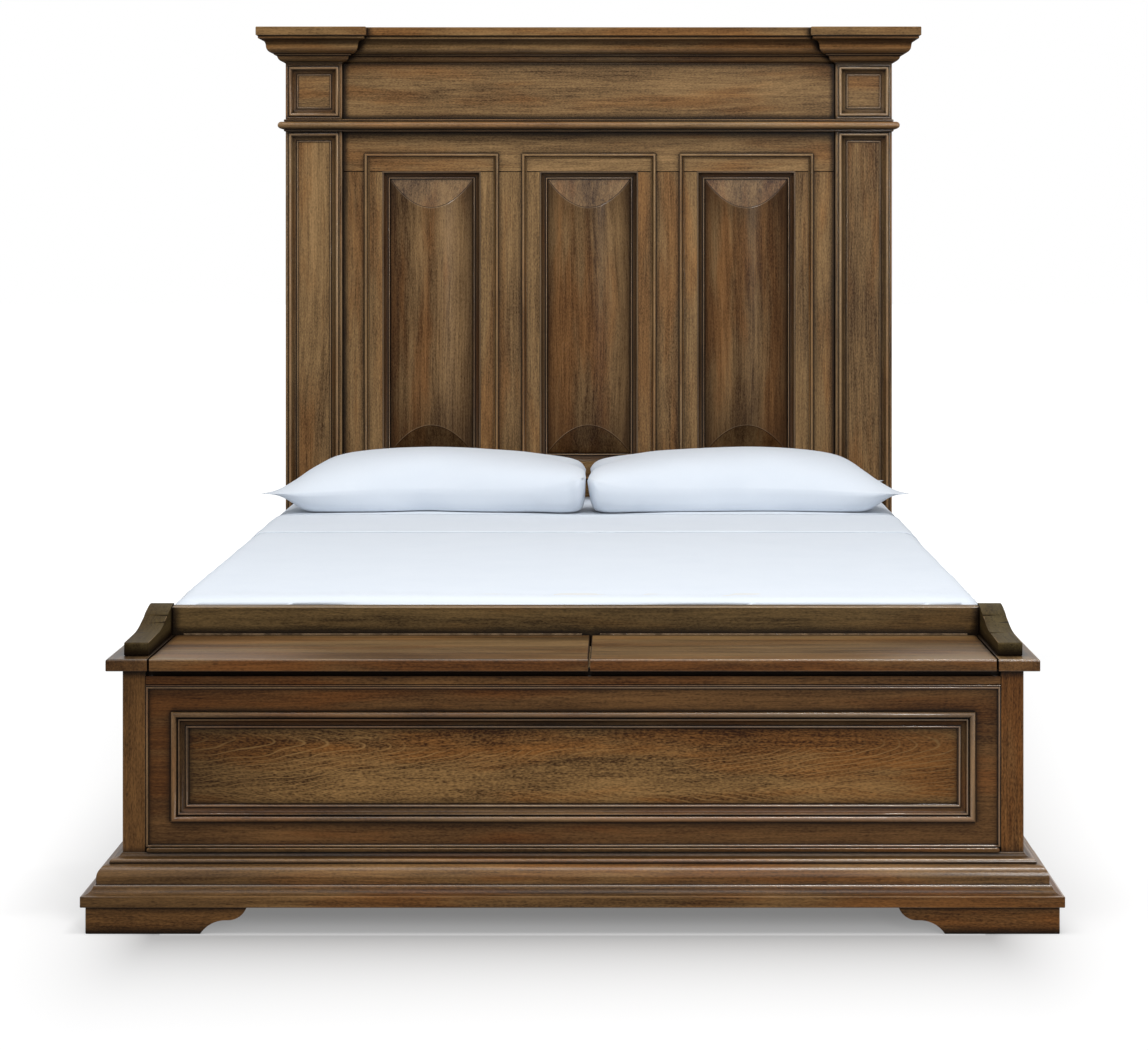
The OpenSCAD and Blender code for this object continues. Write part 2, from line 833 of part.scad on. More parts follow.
module right_lid() {
    lid(right_lid_x);
}

function hinge_span(span) = [span[0] + hinge_inset, span[1] - hinge_inset];
function knuckles(span) = floor((hinge_span(span)[1] - hinge_span(span)[0]) / knuckle_l);

function screw_places(span) = let (
        h = hinge_span(span), n = floor((h[1] - h[0] - 40) / screw_pitch),
        start = (h[0] + h[1] - n * screw_pitch) / 2)
    [for (i = [0:n]) start + i * screw_pitch];

// side is 1 for the leaf on the backboard, -1 for the leaf on the lid
module hinge_leaf(span, side) {
    h = hinge_span(span);
    n = knuckles(span);
    pitch = (h[1] - h[0]) / n;
    r = knuckle_d / 2;
    plate_top = -r - 0.5;
    face = seam / 2;
    color(bronze) translate([0, axis_y, axis_z]) difference() {
        union() {
            along_x(h[1] - h[0], h[0])
                polygon([[side * face, plate_top], [side * (face - leaf_t), plate_top],
                         [side * (face - leaf_t), plate_top - leaf_h],
                         [side * face, plate_top - leaf_h]]);
            for (i = [side > 0 ? 0 : 1 : 2 : n - 1])
                along_x(pitch - knuckle_clear, h[0] + i * pitch + knuckle_clear / 2)
                    difference() {
                        union() {
                            circle(r);
                            polygon([[side * face, 0], [side * (face - leaf_t), 0],
                                     [side * (face - leaf_t), plate_top - 1],
                                     [side * face, plate_top - 1]]);
                        }
                        circle(bore_d / 2);
                    }
        }
        for (x = screw_places(span)) translate([x, side * (face - leaf_t), screw_z - axis_z])
            rotate([-90 * side, 0, 0]) {
                cylinder(leaf_t, screw_head_r + 0.05, screw_r + 0.05);
                translate([0, 0, -0.01]) cylinder(leaf_t + 1, screw_r + 0.05, screw_r + 0.05);
            }
    }
}

module screw_holes(span, side) {
    for (x = screw_places(span)) translate([x, axis_y + side * (seam / 2 - 1), screw_z])
        rotate([-90 * side, 0, 0]) cylinder(screw_l + 1, r = screw_r + 0.05);
}

module hinge_screws(span, side) {
    color(bronze) for (x = screw_places(span))
        translate([x, axis_y + side * (seam / 2 - leaf_t), screw_z])
            rotate([-90 * side, 0, 0]) rotate_extrude()
                polygon([[0, 0], [screw_head_r, 0], [screw_r, leaf_t],
                         [screw_r, screw_l - 2], [0, screw_l]]);
}

module left_lid_leaf() {
    hinge_leaf(left_lid_x, -1);
}

module right_lid_leaf() {
    hinge_leaf(right_lid_x, -1);
}

module backboard_leaves() {
    hinge_leaf(left_lid_x, 1);
    hinge_leaf(right_lid_x, 1);
}

module hinge_pins() {
    color(steel) for (span = [left_lid_x, right_lid_x]) {
        h = hinge_span(span);
        translate([h[0], axis_y, axis_z]) rotate([0, 90, 0])
            cylinder(h[1] - h[0], r = pin_d / 2);
    }
}

module left_lid_screws() {
    hinge_screws(left_lid_x, -1);
}

module right_lid_screws() {
    hinge_screws(right_lid_x, -1);
}

module backboard_screws() {
    hinge_screws(left_lid_x, 1);
    hinge_screws(right_lid_x, 1);
}

// base moulding, drawn 64 deep and 84.5 high: plinth, hollow, fillet, round, upper bead
// and a hollow into the box
function base_profile() = let (
        drawn = concat([[0, 0], [64, 0], [64, 19]],
                       arc(62, 39, 19, 270, 204, 8),
                       [[43, 35], [40, 35.5], [40, 38]],
                       arc(19, 47.5, 21, 0, 80, 8),
                       [[20, 68.5], [20, 70.5]],
                       arc(14, 70.5, 6, 0, 90, 6),
                       arc(12, 88.5, 12, 270, 200, 6),
                       [[0, 84.5]]))
    [for (q = drawn) [q[0] * plinth_reach / 64, foot_h + q[1] * base_h / 84.5]];

module base_moulding() {
    color(walnut_dark) {
        translate([-bed_w / 2, box_y, 0]) run(bed_w, base_profile(), plinth_reach, 1, 1);
        both_sides() translate([-bed_w / 2, box_back_y, 0]) rotate([0, 0, -90])
            run(box_d, base_profile(), plinth_reach, 0, 1);
    }
}

// bracket foot outline: a hollow, a short flat and a round up to the base moulding
function foot_outline(w) =
    concat([[0, 0]],
           arc(w + foot_run, foot_hollow_h - foot_hollow_r, foot_hollow_r,
               180 - asin(1 - foot_hollow_h / foot_hollow_r), 90, 10),
           arc(w + foot_run + foot_flat, foot_hollow_h + foot_round_r, foot_round_r,
               270, 270 + acos(foot_over / foot_round_r), 10),
           [[0, foot_h]]);

// foot board along a face that looks to -Y; the corner at x = 0 is mitred
module foot_board(w, mitre = 1) {
    intersection() {
        along_y(foot_t) polygon(foot_outline(w));
        linear_extrude(foot_h)
            polygon([[0, 0], [2 * w + 100, 0], [2 * w + 100, foot_t], [mitre * foot_t, foot_t]]);
    }
}

module front_feet() {
    block = foot_reach - foot_t;
    color(walnut_dark) both_sides() translate([-bed_w / 2 - foot_reach, box_y - foot_reach, 0]) {
        foot_board(foot_w);
        mirror([1, -1, 0]) foot_board(side_foot_w);
        translate([foot_t, foot_t, 0])
            linear_extrude(foot_h) difference() {
                square(block + corner_w);
                translate([block, block]) square(corner_w + 1);
            }
    }
}

module rear_feet() {
    color(walnut_dark) both_sides()
        translate([-bed_w / 2 - foot_reach, box_back_y, 0]) rotate([0, 0, -90]) {
            foot_board(side_foot_w, 0);
            translate([0, foot_t, 0]) cube([corner_w, foot_reach - foot_t, foot_h]);
        }
}

// side rails with steel hooks that drop into plates on the posts

module side_rails() {
    color(walnut) both_sides() translate([-rail_x, box_back_y, rail_low_z])
        cube([rail_t, post_y - box_back_y, rail_h]);
}

// hook plate on the rail's inner face; the rail ends at y = 0 and its inner face is x = 0
module rail_hook() {
    along_x(hook_t) union() {
        translate([-hook_plate_l, 0]) square([hook_plate_l, hook_plate_h]);
        for (z = hook_zs) {
            translate([-1, z]) square([hook_reach + 1, hook_drop]);
            translate([post_plate_t + 1, z - hook_nose])
                square([hook_reach - post_plate_t - 1, hook_drop + hook_nose]);
        }
    }
}

// outline of the plate let into a post, round the same origin
module post_plate_form(depth) {
    translate([-13, 0, -8]) cube([30, depth, hook_plate_h + 16]);
}

// slots as tall as a whole hook, each with a hook's neck on its lower edge
module hook_plate() {
    free = 0.5;
    difference() {
        post_plate_form(post_plate_t);
        for (z = hook_zs) translate([-free, -1, z])
            cube([hook_t + 2 * free, post_plate_t + 2, hook_nose + hook_drop + free]);
    }
}

// recess for the plate and pockets behind it for the dropped hooks
module hook_pocket() {
    free = 1.5;
    translate([0, -1, 0]) post_plate_form(post_plate_t + 1);
    for (z = hook_zs) translate([-free, 0, z - hook_nose - free])
        cube([hook_t + 2 * free, hook_reach + free, 2 * hook_nose + hook_drop + 2 * free]);
}

module at_rail_ends() {
    both_sides() {
        translate([-rail_inner_x, post_y, hook_plate_z]) children();
        translate([-rail_inner_x, box_back_y, hook_plate_z]) mirror([0, 1, 0]) children();
    }
}

module rail_hooks() {
    color(steel) at_rail_ends() rail_hook();
}

module hook_plates() {
    color(steel) at_rail_ends() hook_plate();
}

module ledgers() {
    color(pine) both_sides() translate([-rail_inner_x, box_back_y + 10, ledger_z - ledger])
        cube([ledger, post_y - box_back_y - 20, ledger]);
}

module slats() {
    first = mattress_y + 20;
    pitch = (mattress_l - 40 - slat_w) / (slat_count - 1);
    w = 2 * rail_inner_x - 4;
    color(pine) for (i = [0:slat_count - 1])
        translate([-w / 2, first + i * pitch, ledger_z]) cube([w, slat_w, slat_t]);
}

module centre_beam() {
    color(pine) translate([-centre_rail_w / 2, box_back_y, ledger_z - centre_rail_h])
        cube([centre_rail_w, frame_y - box_back_y, centre_rail_h]);
}

// legs under the centre rail, each on a round glide
module centre_legs() {
    glide_h = 10;
    top = ledger_z - centre_rail_h;
    pitch = (post_y - box_back_y) / (leg_count + 1);
    for (i = [1:leg_count]) translate([0, box_back_y + i * pitch, 0]) {
        color(pine) translate([-leg_w / 2, -leg_w / 2, glide_h]) cube([leg_w, leg_w, top - glide_h]);
        color(steel) cylinder(glide_h, r = leg_w * 0.4);
    }
}

// mattress and bedding

function rounded_top(x0, x1, z0, z1, r) =
    concat([[x0, z0]], arc(x0 + r, z1 - r, r, 180, 90, 6), arc(x1 - r, z1 - r, r, 90, 0, 6),
           [[x1, z0]]);

module mattress() {
    r = soft_round;
    y1 = mattress_y + mattress_l;
    color(cotton) intersection() {
        along_y(mattress_l, mattress_y)
            polygon(rounded_top(-mattress_w / 2, mattress_w / 2, mattress_z,
                                mattress_z + mattress_h, r));
        along_x(mattress_w, -mattress_w / 2)
            polygon(rounded_top(mattress_y, y1, mattress_z, mattress_z + mattress_h, r));
    }
}

// half of the sheet's section: tucked in below, bulging above the rail, rounded on top
function sheet_half(inset, low) = let (
        side = tuck_x + sheet_bulge - inset, top = sheet_top_z - inset, r = soft_round - inset,
        sweep = sheet_bulge / 2)
    concat([[tuck_x - inset, low], [tuck_x - inset, fold_z]],
           arc(side - sweep, fold_z + 3 * sweep, sweep, 300, 360, 5),
           arc(side - r, top - r, r, 0, 90, 8));

function sheet_section(inset, low) = let (half = sheet_half(inset, low), n = len(half) - 1)
    concat(half, [for (i = [n:-1:0]) [-half[i][0], half[i][1]]]);

module sheet_form(inset, low) {
    y0 = mattress_y - soft_gap - sheet_t + inset;
    y1 = mattress_y + mattress_l + soft_gap + sheet_t - inset;
    intersection() {
        along_y(y1 - y0, y0) polygon(sheet_section(inset, low));
        along_x(big, -big / 2) polygon(rounded_top(y0, y1, low, sheet_top_z - inset,
                                               soft_round - inset));
    }
}

// sheet over the mattress, with its turned-down cuff near the pillows
module sheet() {
    color(cotton) difference() {
        union() {
            sheet_form(0, tuck_z);
            along_y(cuff_d, cuff_y) polygon(sheet_section(-sheet_t, fold_z + 30));
        }
        sheet_form(sheet_t, tuck_z - 1);
    }
}

function pillow_fill(u, v) =
    pow(max(0, 1 - u * u), 0.42 - pillow_slack * u) * pow(max(0, 1 - v * v), 0.4);
function pillow_point(i, j, top) = let (
        u = 2 * i / pillow_u - 1, v = 2 * j / pillow_v - 1, f = pillow_fill(u, v))
    [pillow_w / 2 * u * (1 - pillow_pinch * (1 - v * v)),
     pillow_l / 2 * v * (1 - pillow_pinch * (1 - u * u)),
     top ? pillow_crown * f : pillow_drop * (pow(1 - f, 2.2) - 1)];
function pillow_index(i, j, top) = let (
        edge = i == 0 || j == 0 || i == pillow_u || j == pillow_v)
    top || edge ? i * (pillow_v + 1) + j
                : (pillow_u + 1) * (pillow_v + 1) + (i - 1) * (pillow_v - 1) + j - 1;

// each face's diagonal runs towards the middle, so that no corner closes flat
module pillow() {
    points = concat([for (i = [0:pillow_u], j = [0:pillow_v]) pillow_point(i, j, true)],
                    [for (i = [1:pillow_u - 1], j = [1:pillow_v - 1]) pillow_point(i, j, false)]);
    faces = [for (i = [0:pillow_u - 1], j = [0:pillow_v - 1], top = [true, false])
             let (a = pillow_index(i, j, top), b = pillow_index(i + 1, j, top),
                  c = pillow_index(i + 1, j + 1, top), d = pillow_index(i, j + 1, top))
             each (i < pillow_u / 2) == (j < pillow_v / 2)
                 ? (top ? [[a, c, b], [a, d, c]] : [[a, b, c], [a, c, d]])
                 : (top ? [[a, d, b], [b, d, c]] : [[a, b, d], [b, c, d]])];
    polyhedron(points, faces);
}

module pillows() {
    lift = sheet_top_z + soft_gap + pillow_drop;
    y = mattress_y + mattress_l - pillow_l / 2 - 4;
    color(cotton) both_sides() translate([-pillow_w / 2 - 3, y, lift]) pillow();
}

left_post();
right_post();
left_post_face();
right_post_face();
post_panel_mouldings();
post_panels();
cornice_boards();
left_crown();
centre_crown();
right_crown();
frieze_board();
belt_moulding();
headboard_top_rail();
headboard_bottom_rail();
outer_stiles();
mid_stiles();
bead_frames();
panel_mouldings();
left_barrel_panel();
centre_barrel_panel();
right_barrel_panel();
headboard_back();
bench_corner_posts();
bench_front_board();
bench_rail_strip();
bench_field_bead();
bench_frame_moulding();
bench_front_panel();
left_bench_end();
right_bench_end();
bench_back();
bench_floor();
bench_divider();
left_end_cap();
right_end_cap();
left_arm();
right_arm();
backboard();
left_lid();
right_lid();
left_lid_leaf();
right_lid_leaf();
backboard_leaves();
hinge_pins();
left_lid_screws();
right_lid_screws();
backboard_screws();
base_moulding();
front_feet();
rear_feet();
side_rails();
rail_hooks();
hook_plates();
ledgers();
slats();
centre_beam();
centre_legs();
mattress();
sheet();
pillows();
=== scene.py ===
import json
import math

import bmesh
import bpy
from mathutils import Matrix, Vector, noise


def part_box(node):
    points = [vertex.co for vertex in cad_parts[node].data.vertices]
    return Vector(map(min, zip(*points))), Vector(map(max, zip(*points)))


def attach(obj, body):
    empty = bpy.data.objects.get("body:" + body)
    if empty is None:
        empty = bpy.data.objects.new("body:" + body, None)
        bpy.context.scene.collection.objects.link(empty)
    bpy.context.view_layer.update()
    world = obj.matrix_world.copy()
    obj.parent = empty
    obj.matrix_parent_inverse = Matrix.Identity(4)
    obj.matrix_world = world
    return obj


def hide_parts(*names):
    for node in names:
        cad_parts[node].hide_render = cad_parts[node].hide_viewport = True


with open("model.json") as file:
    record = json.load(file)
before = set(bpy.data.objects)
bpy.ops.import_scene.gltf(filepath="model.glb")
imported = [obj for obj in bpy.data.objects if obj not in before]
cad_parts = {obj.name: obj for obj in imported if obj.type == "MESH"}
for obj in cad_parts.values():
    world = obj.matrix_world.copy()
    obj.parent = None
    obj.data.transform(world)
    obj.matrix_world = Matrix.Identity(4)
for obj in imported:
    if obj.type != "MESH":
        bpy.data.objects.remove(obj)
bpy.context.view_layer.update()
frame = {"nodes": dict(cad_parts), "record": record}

scene = bpy.context.scene
nodes = frame["nodes"]
bodyOf = {node: body for body, members in frame["record"]["behaviour"]["bodies"].items()
          for node in members}
slotOf = {row["node"]: row["material_slot"] for row in frame["record"]["subparts"]}
print("frame loaded,", len(nodes), "nodes")


def addNode(tree, kind, settings=None, sockets=None):
    node = tree.nodes.new("ShaderNode" + kind)
    for key, value in (settings or {}).items():
        setattr(node, key, value)
    for key, value in (sockets or {}).items():
        feed(tree, node.inputs[key], value)
    return node


def feed(tree, socket, value):
    if isinstance(value, bpy.types.Node):
        value = value.outputs[0]
    if isinstance(value, bpy.types.NodeSocket):
        tree.links.new(value, socket)
    else:
        socket.default_value = value


def maths(tree, operation, a, b=0.0, c=0.0, clamp=False):
    return addNode(tree, "Math", {"operation": operation, "use_clamp": clamp},
                   {0: a, 1: b, 2: c})


def mixed(tree, factor, a, b, blend="MIX"):
    node = addNode(tree, "Mix", {"data_type": "RGBA", "blend_type": blend},
                   {0: factor, 6: a, 7: b})
    return node.outputs[2]


def ranged(tree, value, low, high, toLow=0.0, toHigh=1.0):
    return addNode(tree, "MapRange", {"interpolation_type": "SMOOTHSTEP"},
                   {0: value, 1: low, 2: high, 3: toLow, 4: toHigh}).outputs[0]


def scaled(tree, vector, size, shift=(0, 0, 0)):
    return addNode(tree, "Mapping", {}, {"Vector": vector, "Scale": size, "Location": shift})


def noiseAt(tree, vector, detail, roughness=0.5):
    return addNode(tree, "TexNoise", {"noise_dimensions": "3D"},
                   {"Vector": vector, "Scale": 1.0, "Detail": detail,
                    "Roughness": roughness}).outputs[0]


def newGroup(name, inputs, outputs):
    tree = bpy.data.node_groups.new(name, "ShaderNodeTree")
    kinds = {"v": "NodeSocketVector", "c": "NodeSocketColor", "f": "NodeSocketFloat"}
    for label, kind in inputs.items():
        tree.interface.new_socket(label, in_out="INPUT", socket_type=kinds[kind])
    for label, kind in outputs.items():
        tree.interface.new_socket(label, in_out="OUTPUT", socket_type=kinds[kind])
    given = tree.nodes.new("NodeGroupInput").outputs
    out = tree.nodes.new("NodeGroupOutput").inputs
    return tree, given, out


def useGroup(tree, group, sockets):
    node = tree.nodes.new("ShaderNodeGroup")
    node.node_tree = group
    for key, value in sockets.items():
        feed(tree, node.inputs[key], value)
    return node


def newMaterial(name):
    material = bpy.data.materials.new(name)
    material.use_nodes = True
    tree = material.node_tree
    shader = tree.nodes["Principled BSDF"]
    return material, tree, shader


# noises of the grain: scale along the fibres and across them, place, detail and roughness
grainNoises = {
    "streak": ((1.9, 62, 62), (0, 0, 0), 3, 0.6),
    "fine": ((9, 260, 260), (4, 4, 4), 2, 0.6),
    "wide": ((0.9, 14, 14), (3, 1, 7), 2, 0.5),
    "fleck": ((160, 520, 520), (6, 2, 5), 2, 0.5),
    "fibre": ((16, 900, 900), (0, 0, 0), 1, 0.6),
    "cloud": ((3, 8, 8), (5, 2, 1), 3, 0.55),
    "warm": ((1.6, 11, 11), (1, 9, 4), 3, 0.6),
    "speck": ((60, 420, 420), (2, 2, 8), 1, 0.5),
}
straight = ("fibre", "cloud", "warm")  # these don't follow the bend of the grain
grainLook = {"bendScale": (1.3, 4, 4), "bend": 0.05, "fine": 0.9, "fibre": 0.3,
             "pores": (0.6, 0.72), "warm": (0.44, 0.6), "fleckHeight": 0.6}
# growth rings on a flat-sawn face: nested arches in the middle, lines at the flanks
ringLook = {"sway": 0.05, "halfWidth": 0.09, "tip": 0.00012, "along": 20.0, "arch": 115.0,
            "cloud": 8.0, "line": 0.11, "where": (0.36, 0.52)}


# walnut: long streaks, flecks, fine fibres, short pores, cloudy figure and growth rings
def makeWoodGroup():
    tree, given, out = newGroup("woodGrain", {
        "At": "v", "Light": "c", "Dark": "c", "Pore": "c", "Warm": "c",
        "Streaks": "f", "Flecks": "f", "Cloud": "f", "Rings": "f", "Pores": "f"},
        {"Color": "c", "Height": "f", "Mask": "f"})
    at = given["At"]
    bend = noiseAt(tree, scaled(tree, at, grainLook["bendScale"]), detail=1)
    moved = addNode(tree, "VectorMath", {"operation": "MULTIPLY_ADD"},
                    {0: bend, 1: (0, grainLook["bend"], grainLook["bend"]), 2: at})
    seen = {name: noiseAt(tree, scaled(tree, at if name in straight else moved, size, place),
                          detail, roughness)
            for name, (size, place, detail, roughness) in grainNoises.items()}
    pores = maths(tree, "MULTIPLY", ranged(tree, seen["speck"], *grainLook["pores"]),
                  given["Pores"])
    parts = addNode(tree, "SeparateXYZ", {}, {0: moved}).outputs
    side = maths(tree, "PINGPONG", maths(tree, "MULTIPLY_ADD", bend, ringLook["sway"], parts[2]),
                 ringLook["halfWidth"])
    arch = maths(tree, "SQRT", maths(tree, "MULTIPLY_ADD", side, side, ringLook["tip"]))
    contour = maths(tree, "MULTIPLY_ADD", parts[0], ringLook["along"],
                    maths(tree, "MULTIPLY", arch, ringLook["arch"]))
    contour = maths(tree, "MULTIPLY_ADD", seen["cloud"], ringLook["cloud"], contour)
    line = maths(tree, "PINGPONG", contour, 0.5)
    rings = maths(tree, "MULTIPLY", ranged(tree, line, ringLook["line"], 0.0), given["Rings"])
    rings = maths(tree, "MULTIPLY", rings, ranged(tree, seen["wide"], *ringLook["where"]))
    tone = 0.5
    for name, share in (("streak", given["Streaks"]), ("wide", given["Streaks"]),
                        ("cloud", given["Cloud"]), ("fine", grainLook["fine"]),
                        ("fleck", given["Flecks"]), ("fibre", grainLook["fibre"])):
        tone = maths(tree, "MULTIPLY_ADD", maths(tree, "SUBTRACT", seen[name], 0.5), share, tone)
    tone = maths(tree, "ADD", tone, 0.0, clamp=True)
    body = mixed(tree, tone, given["Dark"], given["Light"])
    body = mixed(tree, ranged(tree, seen["warm"], *grainLook["warm"]), body, given["Warm"],
                 "MULTIPLY")
    body = mixed(tree, rings, body, given["Light"])
    body = mixed(tree, pores, body, given["Pore"])
    feed(tree, out["Color"], body)
    height = maths(tree, "MULTIPLY", seen["fleck"], grainLook["fleckHeight"])
    feed(tree, out["Height"], maths(tree, "SUBTRACT", height, pores))
    feed(tree, out["Mask"], seen["cloud"])
    return tree


woodGroup = makeWoodGroup()

# colours are linear: light and dark ends of the tone, pores, and the tint of redder patches;
# a wood without rings shows none
woods = {
    "walnut": {"light": (0.335, 0.2, 0.084), "dark": (0.044, 0.021, 0.008),
               "pore": (0.018, 0.008, 0.003), "warm": (0.94, 0.78, 0.64),
               "streaks": 0.8, "flecks": 1.15, "cloud": 0.8, "pores": 0.35},
    "walnutDark": {"light": (0.31, 0.178, 0.07), "dark": (0.036, 0.017, 0.006),
                   "pore": (0.015, 0.007, 0.003), "warm": (0.94, 0.76, 0.6),
                   "streaks": 0.7, "flecks": 1.0, "cloud": 0.7, "pores": 0.3},
    "slopeWalnut": {"light": (0.19, 0.104, 0.042), "dark": (0.02, 0.009, 0.004),
                    "pore": (0.01, 0.005, 0.002), "warm": (0.95, 0.76, 0.6),
                    "streaks": 0.6, "flecks": 0.9, "cloud": 0.6, "pores": 0.3},
    "walnutPanel": {"light": (0.29, 0.172, 0.075), "dark": (0.034, 0.014, 0.005),
                    "pore": (0.014, 0.006, 0.002), "warm": (0.93, 0.74, 0.6),
                    "streaks": 1.1, "flecks": 1.1, "cloud": 0.7, "pores": 0.35},
    "benchWalnut": {"light": (0.28, 0.135, 0.045), "dark": (0.035, 0.014, 0.0045),
                    "pore": (0.012, 0.005, 0.002), "warm": (0.95, 0.74, 0.56),
                    "streaks": 0.9, "flecks": 1.0, "cloud": 0.8, "pores": 0.4},
    "postWalnut": {"light": (0.33, 0.155, 0.048), "dark": (0.045, 0.018, 0.005),
                   "pore": (0.014, 0.006, 0.002), "warm": (0.95, 0.78, 0.6),
                   "streaks": 0.6, "flecks": 1.1, "cloud": 0.5, "pores": 0.4},
    "baseWalnut": {"light": (0.285, 0.15, 0.053), "dark": (0.036, 0.016, 0.005),
                   "pore": (0.014, 0.006, 0.002), "warm": (0.95, 0.74, 0.56),
                   "streaks": 1.1, "flecks": 0.9, "cloud": 0.7, "pores": 0.4},
    "benchPanel": {"light": (0.36, 0.2, 0.07), "dark": (0.045, 0.019, 0.006),
                   "pore": (0.016, 0.007, 0.002), "warm": (0.93, 0.7, 0.5),
                   "streaks": 0.7, "flecks": 1.9, "cloud": 1.2, "rings": 0.95, "pores": 0.3},
    "walnutTop": {"light": (0.21, 0.122, 0.047), "dark": (0.03, 0.016, 0.006),
                  "pore": (0.014, 0.007, 0.003), "warm": (0.95, 0.8, 0.66),
                  "streaks": 1.4, "flecks": 1.1, "cloud": 0.6, "pores": 0.3},
    "backWalnut": {"light": (0.19, 0.118, 0.045), "dark": (0.024, 0.014, 0.005),
                   "pore": (0.011, 0.006, 0.002), "warm": (0.95, 0.84, 0.72),
                   "streaks": 0.8, "flecks": 1.0, "cloud": 0.8, "rings": 0.35, "pores": 0.4},
    "armWalnut": {"light": (0.098, 0.071, 0.029), "dark": (0.018, 0.012, 0.005),
                  "pore": (0.006, 0.003, 0.001), "warm": (0.95, 0.86, 0.74),
                  "streaks": 0.9, "flecks": 1.2, "cloud": 0.6, "pores": 0.5},
    "pine": {"light": (0.72, 0.5, 0.28), "dark": (0.42, 0.25, 0.11),
             "pore": (0.33, 0.18, 0.08), "warm": (1.0, 0.93, 0.82),
             "streaks": 1.0, "flecks": 0.8, "cloud": 0.4, "rings": 0.5, "pores": 0.15},
}
# roughness and specular level of each wood's satin lacquer, and how polished its arrises are
satin = {"pine": (0.6, 0.2, 0.0), "walnutPanel": (0.26, 0.09, 0.25),
         "baseWalnut": (0.35, 0.13, 1.0), "walnutDark": (0.45, 0.08, 0.3),
         "benchPanel": (0.38, 0.12, 0.8), "walnutTop": (0.36, 0.2, 0.8),
         "benchWalnut": (0.4, 0.12, 0.8), "armWalnut": (0.5, 0.03, 0.1)}
plainSatin = (0.42, 0.12, 0.4)
bumpLook = {"strength": 0.25, "depth": 0.0005, "uneven": 0.2}
# dark glaze and painted shade: in corners where the open space falls from the first value to the
# second, and on faces that look down; stain is the colour of the painted shade from paintedShade
glazeAndShade = {"colour": (0.006, 0.003, 0.0013, 1), "stain": (0.02, 0.0085, 0.003, 1),
         "reach": 0.02, "samples": 6, "soft": 0.22, "softSpace": (0.985, 0.8),
         "quirk": 0.98, "quirkSpace": (0.92, 0.74), "under": 0.5, "underUp": (-0.1, -0.8)}
# arrises rubbed lighter: wear, which also stands for a painted highlight; then polished with a
# coat
rubbedAndLit = {"colour": (0.42, 0.27, 0.135, 1), "share": 0.42, "least": 0.4, "patches": (0.3, 0.6),
          "space": (0.74, 0.9), "coatRough": 0.15, "coatIor": 1.9}


def makeWood(name, look):
    material, tree, shader = newMaterial(name)
    rough, specular, polish = satin.get(name, plainSatin)
    at = addNode(tree, "Attribute", {"attribute_name": "grainAt"}).outputs["Vector"]
    sockets = {key.capitalize(): (*value, 1) if isinstance(value, tuple) else value
               for key, value in look.items()}
    grain = useGroup(tree, woodGroup, {"At": at, **sockets})
    colour = grain.outputs["Color"]
    if name != "pine":  # rubbed arrises, lighter as wear and as a painted highlight, and polished; then painted shade from the paintedShade attribute, on faces that look down, and in quirks and corners by how enclosed they are
        space = addNode(tree, "AmbientOcclusion", {"samples": glazeAndShade["samples"]},
                        {"Distance": glazeAndShade["reach"]}).outputs["AO"]
        wearAndHighlight = addNode(tree, "Attribute", {"attribute_name": "wearAndHighlight"}).outputs["Fac"]
        wearAndHighlight = maths(tree, "MULTIPLY", wearAndHighlight, ranged(tree, space, *rubbedAndLit["space"]))
        patchy = ranged(tree, grain.outputs["Mask"], *rubbedAndLit["patches"],
                        rubbedAndLit["least"] * rubbedAndLit["share"], rubbedAndLit["share"])
        colour = mixed(tree, maths(tree, "MULTIPLY", wearAndHighlight, patchy), colour, rubbedAndLit["colour"])
        feed(tree, shader.inputs["Coat Weight"], maths(tree, "MULTIPLY", wearAndHighlight, polish))
        # painted shade laid on from each piece's paintedShade attribute, in the stain colour
        paintedShadeMask = addNode(tree, "Attribute", {"attribute_name": "paintedShade"}).outputs["Fac"]
        colour = mixed(tree, paintedShadeMask, colour, glazeAndShade["stain"])
        # painted shade on faces that look down, then in corners and quirks by how enclosed they
        # are
        facing = addNode(tree, "TexCoord").outputs["Normal"]
        up = addNode(tree, "SeparateXYZ", {}, {0: facing}).outputs[2]
        for value, span, share in ((up, glazeAndShade["underUp"], glazeAndShade["under"]),
                                   (space, glazeAndShade["softSpace"], glazeAndShade["soft"]),
                                   (space, glazeAndShade["quirkSpace"], glazeAndShade["quirk"])):
            colour = mixed(tree, ranged(tree, value, *span, 0.0, share), colour,
                           glazeAndShade["colour"])
    feed(tree, shader.inputs["Base Color"], colour)
    feed(tree, shader.inputs["Roughness"],
         maths(tree, "MULTIPLY_ADD", grain.outputs["Mask"], bumpLook["uneven"],
               rough - bumpLook["uneven"] / 2))
    bump = addNode(tree, "Bump", {}, {"Strength": bumpLook["strength"],
                                      "Distance": bumpLook["depth"],
                                      "Height": grain.outputs["Height"]})
    feed(tree, shader.inputs["Normal"], bump)
    shader.inputs["Specular IOR Level"].default_value = specular
    shader.inputs["Coat Roughness"].default_value = rubbedAndLit["coatRough"]
    shader.inputs["Coat IOR"].default_value = rubbedAndLit["coatIor"]
    return material


woodMaterials = {name: makeWood(name, look) for name, look in woods.items()}
print("woods made")

metals = {
    "steel": {"colour": (0.52, 0.52, 0.5), "dark": (0.3, 0.29, 0.28), "rough": 0.34},
    # bronze is a dark antique bronze, darkened further to stand for the shade in the gap between
    # lids and backboard
    "bronze": {"colour": (0.1, 0.066, 0.038), "dark": (0.035, 0.023, 0.014), "rough": 0.5},
}
metalGrain = {"stain": (60, 60, 60), "stained": (0.35, 0.7), "brush": (40, 900, 900),
              "uneven": 0.2, "strength": 0.15, "depth": 0.0002}


